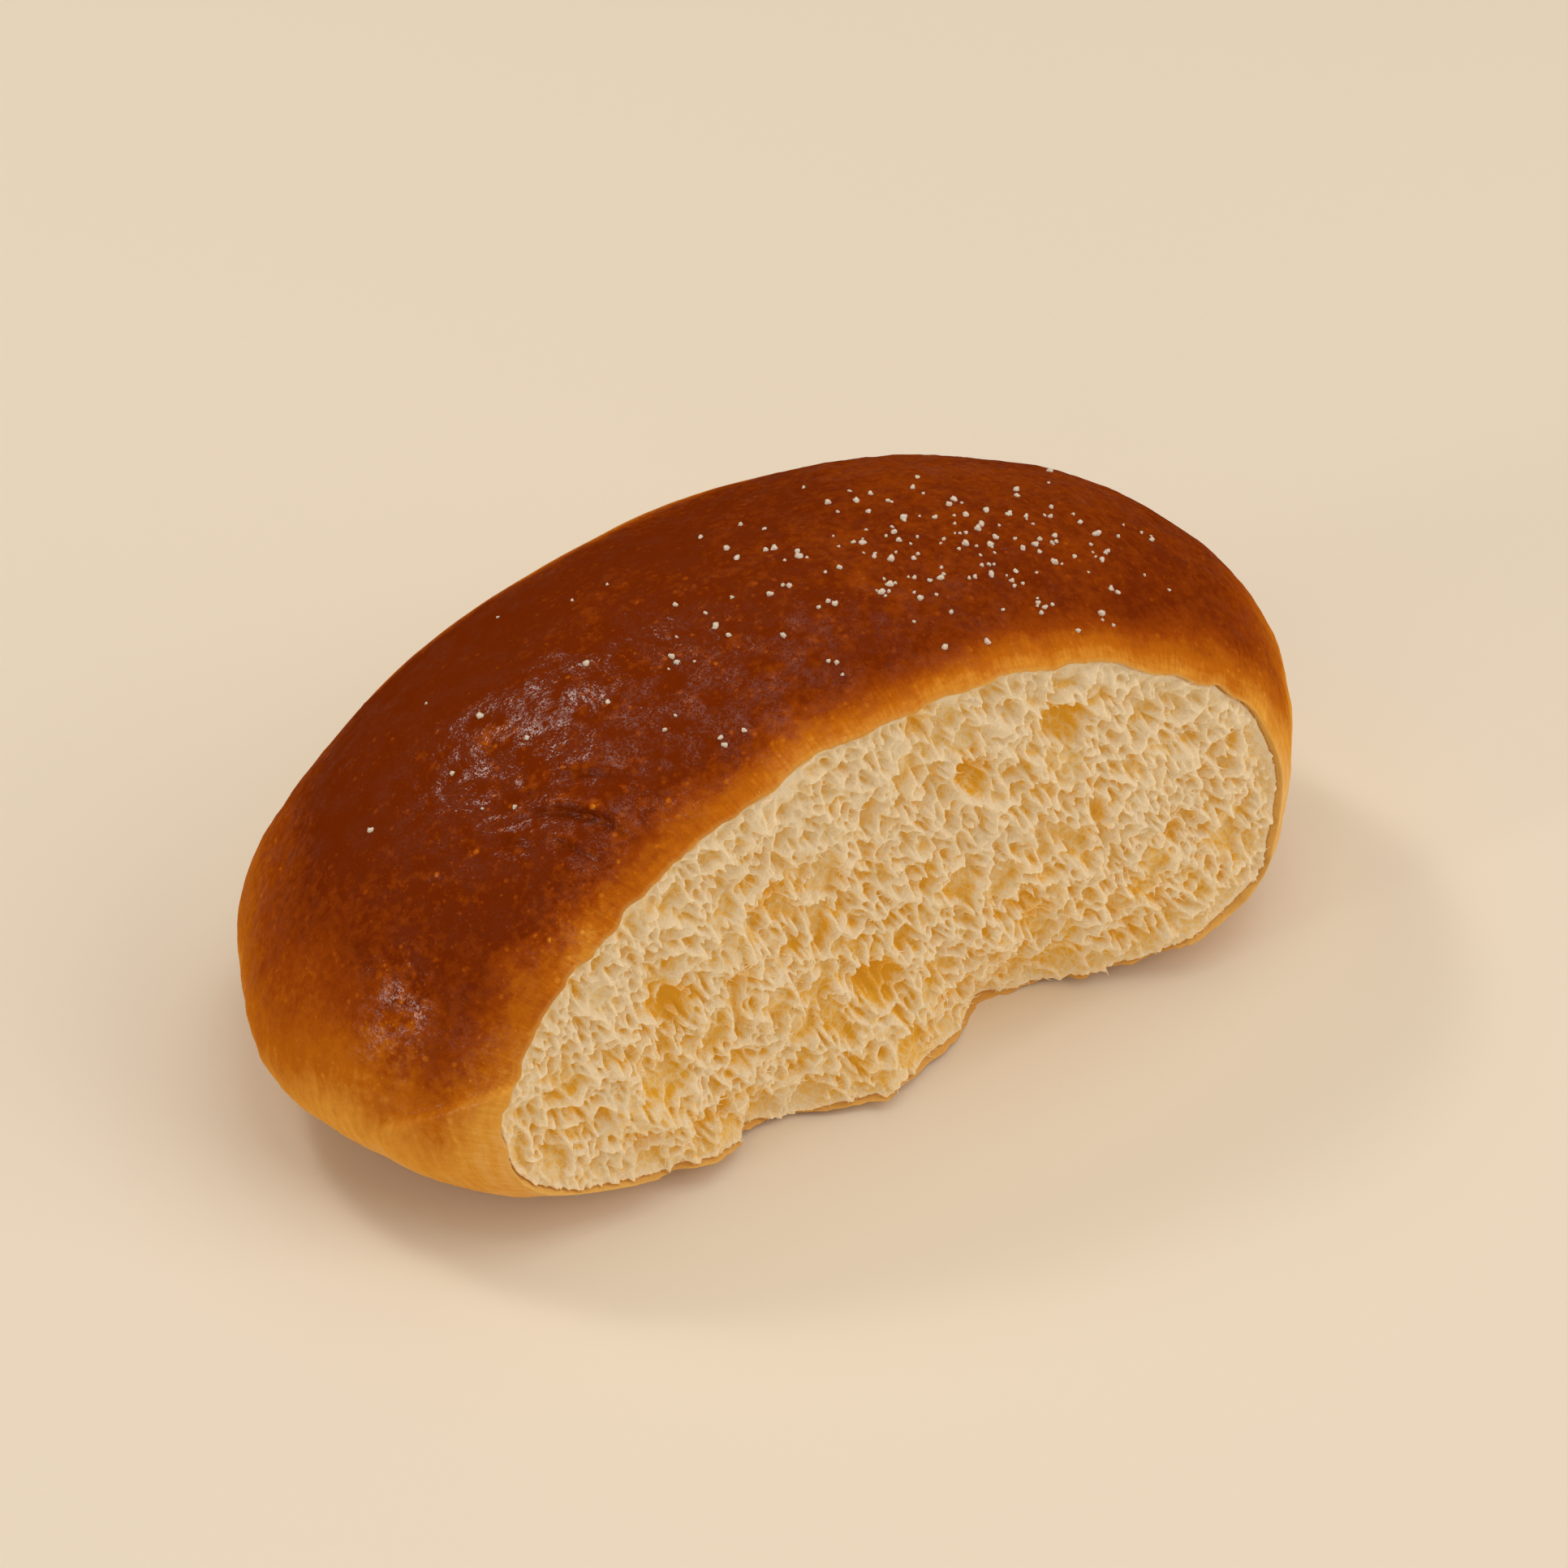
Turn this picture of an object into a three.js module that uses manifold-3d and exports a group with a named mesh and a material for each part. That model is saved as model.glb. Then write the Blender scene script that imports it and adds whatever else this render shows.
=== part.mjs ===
// A soft bread roll, baked in a batch and pulled from its neighbours: a domed crust with a torn
// crumb face along both long sides, and coarse white grains scattered on the crown.
// Millimetres, +Z up. X runs along the roll, the torn side that shows most faces -Y, and the
// origin is on the base, below the middle of the roll's box.
import * as THREE from "three";
import { mergeVertices } from "three/addons/utils/BufferGeometryUtils.js";
import Module from "manifold-3d";

// The dome of dough, as it would be without its neighbours
const HALF_LENGTH = 58;
const HALF_WIDTH = 40.5;
const CROWN_RISE = 35.4;
const WAIST_DROP = 13.2;
const BASE_CUT = 1;
const WAIST_HEIGHT = WAIST_DROP - BASE_CUT;
const CROWN_HEIGHT = WAIST_HEIGHT + CROWN_RISE;
const CROWN_SHIFT = 7.6;
const PLAN_POWER = 1.95;
const CROWN_POWER = 1.95;
const FOOT_POWER = 2.7;
const DOME_DETAIL = 18;
const HEIGHT_PASSES = 6;

// Long swells of the crust: height, and length along and across the roll
const SWELLS = [
  { height: 0.4, along: 9.5, across: 8, phase: 1.3 },
  { height: 0.25, along: 4.6, across: 6.1, phase: 4.1 },
];

// Places where the dough bulges: the lip of the near foot, and the lobe beside the back tear
const BULGES = [
  { x: -43, y: -21, z: 4, reach: 10, height: 2 },
  { x: -48, y: 21, z: 13, reach: 10, height: 1.3 },
];

// The crease in the crust beside the front tear
const CREASE = { x: -29.5, y: -12.5, length: 6.5, breadth: 1.6, turn: -0.85, depth: 0.6 };

// Torn sides: which way each faces, its distance from the middle at waist level, how far it moves
// out for each millimetre of height, and the step of its relief
const FRONT_TEAR = { facing: -1, reach: 25.6, lean: -0.17, step: 1.65, seed: 21 };
const BACK_TEAR = { facing: 1, reach: 25.6, lean: 0, step: 2.3, seed: 22 };
const TEAR_MARGIN = 6;

// Lumps (out above zero) and notches (below zero) of each tear: middle, reach and depth
const FRONT_CRAGS = [
  { x: -15, z: 0, reachX: 5, reachZ: 6, out: -4.5 },
  { x: 16, z: 0, reachX: 11, reachZ: 8, out: -8 },
  { x: -2, z: 2, reachX: 5, reachZ: 4, out: 1.2 },
  { x: -27, z: 8, reachX: 9, reachZ: 9, out: 1.2 },
  { x: -2, z: 20, reachX: 10, reachZ: 11, out: -1.4 },
  { x: 28, z: 20, reachX: 12, reachZ: 10, out: 1 },
];
const BACK_CRAGS = [
  { x: 20, z: 0, reachX: 8, reachZ: 6, out: -4 },
  { x: -18, z: 0, reachX: 10, reachZ: 7, out: -5 },
  { x: 3, z: 3, reachX: 6, reachZ: 4, out: 1 },
  { x: -10, z: 24, reachX: 12, reachZ: 9, out: 1.2 },
  { x: 14, z: 22, reachX: 10, reachZ: 10, out: -1.5 },
];

// Large open cells that stand out in the front crumb: middle, radius and depth
const FRONT_CELLS = [
  { x: -25, z: 20, radius: 2.8, depth: 2 },
  { x: -18, z: 20.5, radius: 2, depth: 1.8 },
  { x: -13.5, z: 27, radius: 2.4, depth: 1.6 },
  { x: 4.5, z: 40, radius: 2.4, depth: 1.6 },
  { x: 10.5, z: 32, radius: 2.6, depth: 2.2 },
  { x: 21.5, z: 33.5, radius: 2.6, depth: 1.8 },
  { x: -1.5, z: 11.5, radius: 2.6, depth: 2.6 },
  { x: 16.5, z: 13.5, radius: 2.4, depth: 2 },
];

// The other cells, one to each square of a jittered grid
const CELL_PITCH = 4.6;
const CELL_RADIUS = { least: 1.3, most: 2.3 };
const CELL_DEPTH = { least: 0.4, most: 1.5 };
const RAGGED = { height: 0.45, length: 3.1 };

// The strip of torn skin that stands out below the crust on the front tear
const RIBBON = { fromX: -21, fromZ: 32, toX: -6.5, toZ: 38.2, breadth: 1.3, out: 1.3 };

// Grains on the crown: most lie in one drift, the rest stray over the crust
const GRAIN_SIZE = { least: 0.4, most: 0.6 };
const GRAIN_RISE = 0.5; // share of its radius that a grain's middle stands above the crust
const GRAIN_SINK = 0.12;
const GRAIN_GAP = 1.5;
const GRAIN_FIELD = { x: 40, y: 16 }; // grains lie no further than this from the middle
const DRIFT = { count: 52, x: 21, y: -5, spreadX: 11, spreadY: 6.5 };
const STRAYS = { count: 14, x: 0, y: -2, spreadX: 24, spreadY: 11 };
const GRAIN_SEED = 5;

const wasm = await Module();
wasm.setup();

// A seeded row of numbers from 0 to 1
function draws(seed) {
  let state = seed;
  return () => {
    state = (state + 0x6d2b79f5) | 0;
    let mixed = Math.imul(state ^ (state >>> 15), 1 | state);
    mixed = (mixed + Math.imul(mixed ^ (mixed >>> 7), 61 | mixed)) ^ mixed;
    return ((mixed ^ (mixed >>> 14)) >>> 0) / 2 ** 32;
  };
}

function between(range, share) {
  return range.least + (range.most - range.least) * share;
}

// A bell-shaped draw of mean zero and spread one
function bell(draw) {
  return Math.sqrt(-2 * Math.log(1 - draw())) * Math.cos(2 * Math.PI * draw());
}

function solidOf(geometry) {
  geometry.deleteAttribute("normal");
  geometry.deleteAttribute("uv");
  const merged = mergeVertices(geometry);
  return new wasm.Manifold(
    new wasm.Mesh({
      numProp: 3,
      vertProperties: merged.attributes.position.array,
      triVerts: new Uint32Array(merged.index.array),
    }),
  );
}

function geometryOf(solid) {
  const mesh = solid.getMesh();
  const geometry = new THREE.BufferGeometry();
  geometry.setAttribute("position", new THREE.BufferAttribute(mesh.vertProperties, 3));
  geometry.setIndex(new THREE.BufferAttribute(mesh.triVerts, 1));
  return geometry;
}

// Calls move on each vertex of a geometry and keeps the place that it leaves the point at
function reshape(geometry, move) {
  const places = geometry.attributes.position;
  const point = new THREE.Vector3();
  for (let i = 0; i < places.count; i += 1) {
    point.fromBufferAttribute(places, i);
    move(point);
    places.setXYZ(i, point.x, point.y, point.z);
  }
  return geometry;
}

// How far the crust stands out from the smooth dome
function crustRelief({ x, y, z }) {
  let height = 0;
  for (const swell of SWELLS) {
    const along = Math.sin(x / swell.along + swell.phase);
    const across = Math.cos(y / swell.across + swell.phase);
    height += swell.height * along * across;
  }
  for (const bulge of BULGES) {
    const gap = Math.hypot(x - bulge.x, y - bulge.y, z - bulge.z);
    height += bulge.height * Math.exp(-((gap / bulge.reach) ** 2));
  }
  const along = (x - CREASE.x) * Math.cos(CREASE.turn) + (y - CREASE.y) * Math.sin(CREASE.turn);
  const across = (y - CREASE.y) * Math.cos(CREASE.turn) - (x - CREASE.x) * Math.sin(CREASE.turn);
  return height - CREASE.depth * Math.exp(-((along / CREASE.length) ** 2) - (across / CREASE.breadth) ** 2);
}

// Moves a point of the unit sphere onto the dome: a superellipsoid whose crown and foot have their
// own heights and powers, and whose crown is pushed toward +X
function ontoDome(point) {
  const rise = point.z > 0 ? CROWN_RISE : WAIST_DROP;
  const power = point.z > 0 ? CROWN_POWER : FOOT_POWER;
  const plan = Math.abs(point.x) ** PLAN_POWER + Math.abs(point.y) ** PLAN_POWER;
  const size = (plan ** (power / PLAN_POWER) + Math.abs(point.z) ** power) ** (-1 / power);
  point.multiplyScalar(size);
  point.set(point.x * HALF_LENGTH, point.y * HALF_WIDTH, point.z * rise);
  const outward = point.clone().normalize();
  point.x += CROWN_SHIFT * Math.max(point.z / CROWN_RISE, 0);
  point.z += WAIST_HEIGHT;
  point.addScaledVector(outward, crustRelief(point));
}

function makeDome() {
  return solidOf(reshape(new THREE.IcosahedronGeometry(1, DOME_DETAIL), ontoDome));
}

// Everything below the base, where the tray kept the dough flat
function makeTray() {
  const tray = new THREE.BoxGeometry(4 * HALF_LENGTH, 4 * HALF_WIDTH, WAIST_DROP);
  return solidOf(tray.translate(0, 0, -WAIST_DROP / 2));
}

// Small open cells of a tear, spread on a jittered grid over the whole height
function scatteredCells(seed) {
  const draw = draws(seed);
  const cells = [];
  for (let x = -HALF_LENGTH; x < HALF_LENGTH; x += CELL_PITCH) {
    for (let z = 0; z < CROWN_HEIGHT; z += CELL_PITCH) {
      cells.push({
        x: x + CELL_PITCH * draw(),
        z: z + CELL_PITCH * draw(),
        radius: between(CELL_RADIUS, draw()),
        depth: between(CELL_DEPTH, draw()),
      });
    }
  }
  return cells;
}

// How far the ribbon of torn skin stands out at a place on the front tear
function ribbonRelief(x, z) {
  const run = new THREE.Vector2(RIBBON.toX - RIBBON.fromX, RIBBON.toZ - RIBBON.fromZ);
  const place = new THREE.Vector2(x - RIBBON.fromX, z - RIBBON.fromZ);
  const share = THREE.MathUtils.clamp(place.dot(run) / run.lengthSq(), 0, 1);
  const gap = place.addScaledVector(run, -share).length();
  return RIBBON.out * Math.exp(-((gap / RIBBON.breadth) ** 2));
}

// How far a tear stands out from its leaning plane: lumps and notches, ragged waves and cells
function tearRelief(x, z, crags, cells) {
  let out = RAGGED.height * Math.sin(x / RAGGED.length + z) * Math.cos(z / RAGGED.length - x / 2);
  for (const crag of crags) {
    out += crag.out * Math.exp(-(((x - crag.x) / crag.reachX) ** 2) - ((z - crag.z) / crag.reachZ) ** 2);
  }
  for (const cell of cells) {
    const share = Math.hypot(x - cell.x, z - cell.z) / cell.radius;
    out -= cell.depth * Math.max(1 - share ** 2, 0);
  }
  return out;
}

// The solid that a tear takes off the dome: a block whose inner face is the torn surface
function makeTornOff(tear, relief) {
  const width = 2 * (HALF_LENGTH + TEAR_MARGIN);
  const height = CROWN_HEIGHT + 2 * TEAR_MARGIN;
  const columns = Math.round(width / tear.step);
  const rows = Math.round(height / tear.step);
  const block = new THREE.BoxGeometry(width, 2, height, columns, 1, rows);
  block.translate(0, 0, CROWN_HEIGHT / 2);
  return solidOf(
    reshape(block, (point) => {
      const inner = point.y * tear.facing < 0;
      const plane = tear.reach + tear.lean * (point.z - WAIST_HEIGHT);
      const out = inner ? plane + relief(point.x, point.z) : HALF_WIDTH + TEAR_MARGIN;
      point.y = tear.facing * out;
    }),
  );
}

// The height of the crust above a place on the base. The push of the crown depends on the height,
// so the height is worked out again a few times, until it settles.
function crustHeight(x, y) {
  let height = CROWN_HEIGHT;
  for (let pass = 0; pass < HEIGHT_PASSES; pass += 1) {
    const push = (CROWN_SHIFT * (height - WAIST_HEIGHT)) / CROWN_RISE;
    const across = Math.abs(y / HALF_WIDTH) ** PLAN_POWER;
    const plan = Math.abs((x - push) / HALF_LENGTH) ** PLAN_POWER + across;
    const left = Math.max(1 - plan ** (CROWN_POWER / PLAN_POWER), 0);
    height = WAIST_HEIGHT + CROWN_RISE * left ** (1 / CROWN_POWER);
  }
  return height + crustRelief({ x, y, z: height });
}

// Grains of one drift, each a rough lump set a little into the crust and clear of the others
function makeGrains(drift, draw, taken) {
  const grains = [];
  while (grains.length < drift.count) {
    const x = drift.x + drift.spreadX * bell(draw);
    const y = drift.y + drift.spreadY * bell(draw);
    const size = between(GRAIN_SIZE, draw());
    const turn = new THREE.Euler(Math.PI * draw(), Math.PI * draw(), Math.PI * draw());
    const clear = taken.every((other) => Math.hypot(other.x - x, other.y - y) > GRAIN_GAP);
    const onCrown = Math.abs(x) < GRAIN_FIELD.x && Math.abs(y) < GRAIN_FIELD.y;
    if (!clear || !onCrown) continue;
    taken.push({ x, y });
    const lump = new THREE.IcosahedronGeometry(size, 0);
    lump.rotateX(turn.x).rotateY(turn.y).rotateZ(turn.z);
    lump.translate(x, y, crustHeight(x, y) + size * GRAIN_RISE - GRAIN_SINK);
    grains.push(solidOf(lump));
  }
  return grains;
}

function makeRoll() {
  const frontCells = [...FRONT_CELLS, ...scatteredCells(FRONT_TEAR.seed)];
  const backCells = scatteredCells(BACK_TEAR.seed);
  const frontRelief = (x, z) => tearRelief(x, z, FRONT_CRAGS, frontCells) + ribbonRelief(x, z);
  const backRelief = (x, z) => tearRelief(x, z, BACK_CRAGS, backCells);
  let roll = makeDome().subtract(makeTray());
  roll = roll.subtract(makeTornOff(FRONT_TEAR, frontRelief));
  roll = roll.subtract(makeTornOff(BACK_TEAR, backRelief));
  const draw = draws(GRAIN_SEED);
  const taken = [];
  for (const grain of [...makeGrains(DRIFT, draw, taken), ...makeGrains(STRAYS, draw, taken)]) {
    roll = roll.add(grain);
  }
  return roll;
}

// Puts the middle of the base below the middle of the box
function centred(geometry) {
  geometry.computeBoundingBox();
  const middle = geometry.boundingBox.getCenter(new THREE.Vector3());
  return geometry.translate(-middle.x, -middle.y, -geometry.boundingBox.min.z);
}

const crust = new THREE.MeshStandardMaterial({ color: 0x8c4715, roughness: 0.42, metalness: 0 });
const roll = new THREE.Mesh(centred(geometryOf(makeRoll())), crust);
roll.name = "bread_roll";

const group = new THREE.Group();
group.name = "bread_roll_part";
group.add(roll);

export default group;
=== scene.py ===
# %% [markdown]
# # A torn bread roll
# This roll was baked in a batch, side by side with others, and then pulled away. A glazed crust covers
# its top, both ends and its base, and torn crumb shows along its two long sides. The lesson makes the
# crust from a formula, the crumb from a field of bubbles, and scatters the grains on top.

# %% Load the frame
import math
from functools import reduce

import bpy
import numpy as np
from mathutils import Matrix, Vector


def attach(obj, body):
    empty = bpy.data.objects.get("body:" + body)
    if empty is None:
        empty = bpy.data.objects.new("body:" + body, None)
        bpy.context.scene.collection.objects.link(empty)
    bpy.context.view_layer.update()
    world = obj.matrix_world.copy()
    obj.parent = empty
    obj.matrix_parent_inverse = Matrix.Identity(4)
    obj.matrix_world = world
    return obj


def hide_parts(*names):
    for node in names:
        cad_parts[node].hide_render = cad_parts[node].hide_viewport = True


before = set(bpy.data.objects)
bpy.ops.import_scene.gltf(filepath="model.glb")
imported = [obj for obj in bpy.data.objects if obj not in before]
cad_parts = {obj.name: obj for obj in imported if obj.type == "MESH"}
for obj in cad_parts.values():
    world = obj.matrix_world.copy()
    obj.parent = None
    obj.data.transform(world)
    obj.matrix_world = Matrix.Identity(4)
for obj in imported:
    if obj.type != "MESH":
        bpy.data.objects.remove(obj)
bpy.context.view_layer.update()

NODE = "bread_roll"
MM = 0.001

# %% [markdown]
# ## The camera
# The photograph was taken from above the near end with a long lens. A long lens keeps the far end almost
# as large as the near one. The camera is placed by an angle round the roll, an angle above it and a
# distance, so that each can be changed alone.

# %% Camera
VIEW_AZIMUTH = math.radians(-31.14)
VIEW_ELEVATION = math.radians(38.5)
VIEW_DISTANCE = 0.440
VIEW_AIM = Vector((0.0009, 0.0004, 0.0204))
PICTURE_SIDE = 1932
FOCAL_PIXELS = 5333


def show(name, data):
    """Adds an object to the scene, at its middle and unturned."""
    made = bpy.data.objects.new(name, data)
    bpy.context.scene.collection.objects.link(made)
    return made


camera_data = bpy.data.cameras.new("camera")
camera_data.sensor_width = 36
camera_data.lens = FOCAL_PIXELS / PICTURE_SIDE * camera_data.sensor_width
camera_data.clip_start = 0.01
camera = show("camera", camera_data)
toward_viewer = Vector((
    math.sin(VIEW_AZIMUTH) * math.cos(VIEW_ELEVATION),
    -math.cos(VIEW_AZIMUTH) * math.cos(VIEW_ELEVATION),
    math.sin(VIEW_ELEVATION),
))
camera.location = VIEW_AIM + toward_viewer * VIEW_DISTANCE
camera.rotation_euler = toward_viewer.to_track_quat("Z", "Y").to_euler()
bpy.context.scene.camera = camera
print("camera lens in mm:", round(camera_data.lens, 1))

# %% [markdown]
# ## The form of the roll
# The dough rose into a dome: a superellipsoid with a low foot and a high crown that leans to one end. A
# mesh could be pushed into this form by hand, but a formula can be asked for any point, at any fineness.
# This function gives points of the dome in millimetres from the middle of the base.

# %% Dome
HALF_LENGTH = 58.0
HALF_WIDTH = 40.5
CROWN_RISE = 35.4
WAIST_DROP = 13.2
WAIST_HEIGHT = WAIST_DROP - 1.0
CROWN_SHIFT = 7.6
PLAN_POWER = 1.95
CROWN_POWER = 1.95
FOOT_POWER = 2.7
DOME_MIDDLE = np.array([-0.22, 0.47, 0.0])
HALVINGS = 40


def dome_point(turn, y):
    """Points of the smooth dome at an angle round its Y axis and a place y along that axis."""
    cosine, sine = np.cos(turn), np.sin(turn)
    rise = np.where(sine > 0, CROWN_RISE, WAIST_DROP)
    power = np.where(sine > 0, CROWN_POWER, FOOT_POWER)
    across = np.abs(y / HALF_WIDTH) ** PLAN_POWER
    near = np.zeros(np.broadcast(turn, y).shape)
    far = near + 1.2
    for _ in range(HALVINGS):
        middle = (near + far) / 2
        plan = np.abs(middle * cosine) ** PLAN_POWER + across
        inside = plan ** (power / PLAN_POWER) + np.abs(middle * sine) ** power < 1
        near = np.where(inside, middle, near)
        far = np.where(inside, far, middle)
    up = rise * near * sine
    x = HALF_LENGTH * near * cosine + CROWN_SHIFT * np.maximum(up, 0) / CROWN_RISE
    return np.stack([x, np.broadcast_to(y, x.shape), up + WAIST_HEIGHT], axis=-1)


# %% [markdown]
# ## The two tears
# Where the roll was pulled from its neighbours, a torn face runs along each long side. Each is a leaning
# plane with broad crags, large open cells and shreds of dough. All of them are short lists of places and
# sizes, so one set of functions can make both faces.

# %% Tears
FRONT = {
    "facing": -1, "reach": 25.6, "lean": -0.17, "seed": 3.0,
    # middle x and z, reach in x and z, and how far it stands out
    "crags": [
        (-15, 0, 5, 6, -4.5), (16, 0, 11, 8, -8.0), (-2, 2, 5, 4, 1.2),
        (-27, 8, 9, 9, 1.2), (-2, 20, 10, 11, -1.4), (28, 20, 12, 10, 1.0),
    ],
    # large open cells: middle x and z, radius and depth
    "cells": [
        (-25, 20, 2.8, 2.0), (-18, 20.5, 2.0, 1.8), (-13.5, 27, 2.4, 1.6), (4.5, 40, 2.4, 1.6),
        (10.5, 32, 2.6, 2.2), (21.5, 33.5, 2.6, 1.8), (-1.9, 12.8, 2.8, 3.2), (16.5, 13.5, 2.4, 2.0),
    ],
    # torn shreds: both ends in x and z, how far they stand out and how softly they fade behind
    "shreds": [
        (-18.4, 29.4, -14.2, 20.9, 1.5, 5.0), (-14.2, 20.9, -10.7, 9.5, 1.7, 5.0),
        (-6.5, 39.2, -21.1, 33.1, 1.4, 1.6), (18.0, 38.5, 12.0, 27.0, 1.0, 3.0),
        (-36.0, 14.5, -22.0, 7.5, 1.1, 2.5), (34.0, 30.0, 30.0, 17.0, 0.9, 3.0),
    ],
}
BACK = {
    "facing": 1, "reach": 25.6, "lean": 0.0, "seed": 8.0,
    "crags": [
        (20, 0, 8, 6, -4.0), (-18, 0, 10, 7, -5.0), (3, 3, 6, 4, 1.0),
        (-10, 24, 12, 9, 1.2), (14, 22, 10, 10, -1.5),
    ],
    "cells": [
        (-24, 16, 2.6, 2.0), (-8, 33, 2.4, 1.8), (5, 14, 2.8, 2.2), (24, 27, 2.5, 1.8),
    ],
    "shreds": [
        (15.0, 33.0, 9.0, 14.0, 1.4, 4.0), (-4.0, 40.0, -19.0, 36.0, 1.3, 1.6),
        (-30.0, 22.0, -24.0, 8.0, 1.0, 3.0),
    ],
}


def tear_reach(tear, x, z):
    """How far from the roll's middle plane a tear stands at a place."""
    out = tear["reach"] + tear["lean"] * (z - WAIST_HEIGHT)
    for middle_x, middle_z, reach_x, reach_z, height in tear["crags"]:
        out = out + height * np.exp(-((x - middle_x) / reach_x) ** 2 - ((z - middle_z) / reach_z) ** 2)
    return out


def tear_edge(tear, turn):
    """The distance along Y at which the dome meets a tear, for each angle."""
    near = np.full(turn.shape, 5.0)
    far = np.full(turn.shape, HALF_WIDTH - 0.01)
    for _ in range(HALVINGS):
        middle = (near + far) / 2
        point = dome_point(turn, tear["facing"] * middle)
        inside = middle < tear_reach(tear, point[..., 0], point[..., 2])
        near = np.where(inside, middle, near)
        far = np.where(inside, far, middle)
    return near


# %% [markdown]
# ## The crust
# The crust is one skin round the roll, from the edge of one tear to the edge of the other. A sphere of
# polygons would be cut raggedly by the tears, so the skin is a grid instead: one direction runs round the
# roll, the other runs from tear to tear. The grid then ends exactly on the tears, turns over a rounded
# rim and closes behind the crumb.

# %% Crust grid
ROUND_STEPS = 560
ACROSS_STEPS = 112
FINE_STEPS = 160
EDGE_WANDER = 0.4
BASE_WANDER = 0.8
FRONT_SEED = 2.0
BACK_SEED = 5.0
# the swings of a torn edge: length in millimetres and size
SWINGS = [(6.5, 0.8), (2.4, 0.45), (0.9, 0.2)]
KNOTS = 512
CLOSING_RUN = 6.0


def steps(low, high, value):
    """A soft step from 0 at low to 1 at high."""
    share = np.clip((value - low) / (high - low), 0, 1)
    return share * share * (3 - 2 * share)


def wander(run, seed):
    """An uneven wave between about -1 and 1 along a line, for torn edges."""
    dice = np.random.default_rng(abs(int(seed * 10)))
    total = 0
    for length, size in SWINGS:
        knots = dice.uniform(-1, 1, KNOTS)
        knot = np.floor(run / length).astype(int)
        share = steps(0, 1, run / length - knot)
        total = total + size * (knots[knot % KNOTS] * (1 - share) + knots[(knot + 1) % KNOTS] * share)
    return total


def wander_round(run, length, seed):
    """The same wave along a closed line of this length: its end runs into its start."""
    closing = steps(length - CLOSING_RUN, length, run)
    return wander(run, seed) * (1 - closing) + wander(run - length, seed) * closing


def even_angles(count):
    """Angles whose points are evenly spaced round the middle of the dome, from under the base."""
    angle = np.linspace(-math.pi / 2, 3 * math.pi / 2, 4001)
    line = dome_point(angle, np.zeros_like(angle))
    run = np.concatenate([[0], np.cumsum(np.linalg.norm(np.diff(line, axis=0), axis=1))])
    return np.interp(np.arange(count) / count * run[-1], run, angle), run[-1]


def edge_wander(turn, y):
    """How much a torn edge wanders: most where the base was torn."""
    return EDGE_WANDER + BASE_WANDER * (1 - steps(1, 6, dome_point(turn, y)[..., 2]))


def crust_grid():
    """Dome points in rows from the front tear to the back one, and how far along its row each one is."""
    turn, girth = even_angles(ROUND_STEPS)
    run = np.arange(ROUND_STEPS) / ROUND_STEPS * girth
    start, stop = -tear_edge(FRONT, turn), tear_edge(BACK, turn)
    start = start - wander_round(run, girth, FRONT_SEED) * edge_wander(turn, start)
    stop = stop + wander_round(run, girth, BACK_SEED) * edge_wander(turn, stop)
    share = np.linspace(0, 1, FINE_STEPS + 1)
    fine_y = start[:, None] + (stop - start)[:, None] * share
    fine = dome_point(turn[:, None], fine_y)
    run = np.cumsum(np.linalg.norm(np.diff(fine, axis=1), axis=2), axis=1)
    run = np.concatenate([np.zeros((len(turn), 1)), run], axis=1)
    wanted = np.linspace(0, 1, ACROSS_STEPS + 1)
    y = np.stack([np.interp(wanted * r[-1], r, row) for r, row in zip(run, fine_y)])
    return dome_point(turn[:, None], y), wanted * run[:, -1:], girth


grid, across_run, girth = crust_grid()
print("crust grid:", grid.shape, "girth in mm:", round(girth))

# %% [markdown]
# ## Swells, folds and a lip
# A roll is never a clean dome. Broad swells run over it, the near end bulges, fine folds cross its crown,
# and at the near foot a lip of dough hangs over. These could be sculpted, but as numbers they can be
# moved one at a time. Their sum pushes each point of the grid outwards.

# %% Crust relief
# swells: size, length along the roll, length across it, and where the wave starts
SWELLS = [(0.4, 9.5, 8.0, 1.3), (0.25, 4.6, 6.1, 4.1)]
# bulges: middle x, y and z, reach and size
BULGES = [(-43, -21, 4, 10, 2.0), (-48, 21, 13, 10, 1.3)]
# folds in the crown: middle x and y, turn, half length, breadth, depth and height of the lip
CREASES = [
    (-29.5, -12.5, -0.85, 5.2, 0.6, 0.8, 0.8), (-32.5, -8.0, -0.5, 3.2, 0.6, 0.35, 0.3),
    (-35.5, -11.0, -0.95, 2.2, 0.6, 0.4, 0.25), (-27.0, -9.8, -0.7, 3.4, 0.45, 0.4, 0.35),
    (-31.5, -14.8, -1.0, 3.0, 0.45, 0.45, 0.4),
]
CREASE_BOW = 0.035
# the lip at the near foot: height of its fold at the middle, slope along y, fade, and how far it stands out
LIP_HEIGHT = -1.7
LIP_SLOPE = -0.857
LIP_FADE = 7.0
LIP_RISE = 0.9


def crease_shape(point):
    """Depth of the slots and height of the raised lips of the folds in the crown."""
    slot, lip = np.zeros(point.shape[:-1]), np.zeros(point.shape[:-1])
    for middle_x, middle_y, turn, length, breadth, depth, rise in CREASES:
        x, y = point[..., 0] - middle_x, point[..., 1] - middle_y
        along = x * math.cos(turn) + y * math.sin(turn)
        across = y * math.cos(turn) - x * math.sin(turn) + CREASE_BOW * along ** 2
        over = (point[..., 2] > WAIST_HEIGHT) * np.exp(-(along / length) ** 2)
        slot += depth * over * np.exp(-(across / breadth) ** 2)
        lip += rise * over * np.exp(-((across - 2 * breadth) / breadth) ** 2)
    return slot, lip


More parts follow.
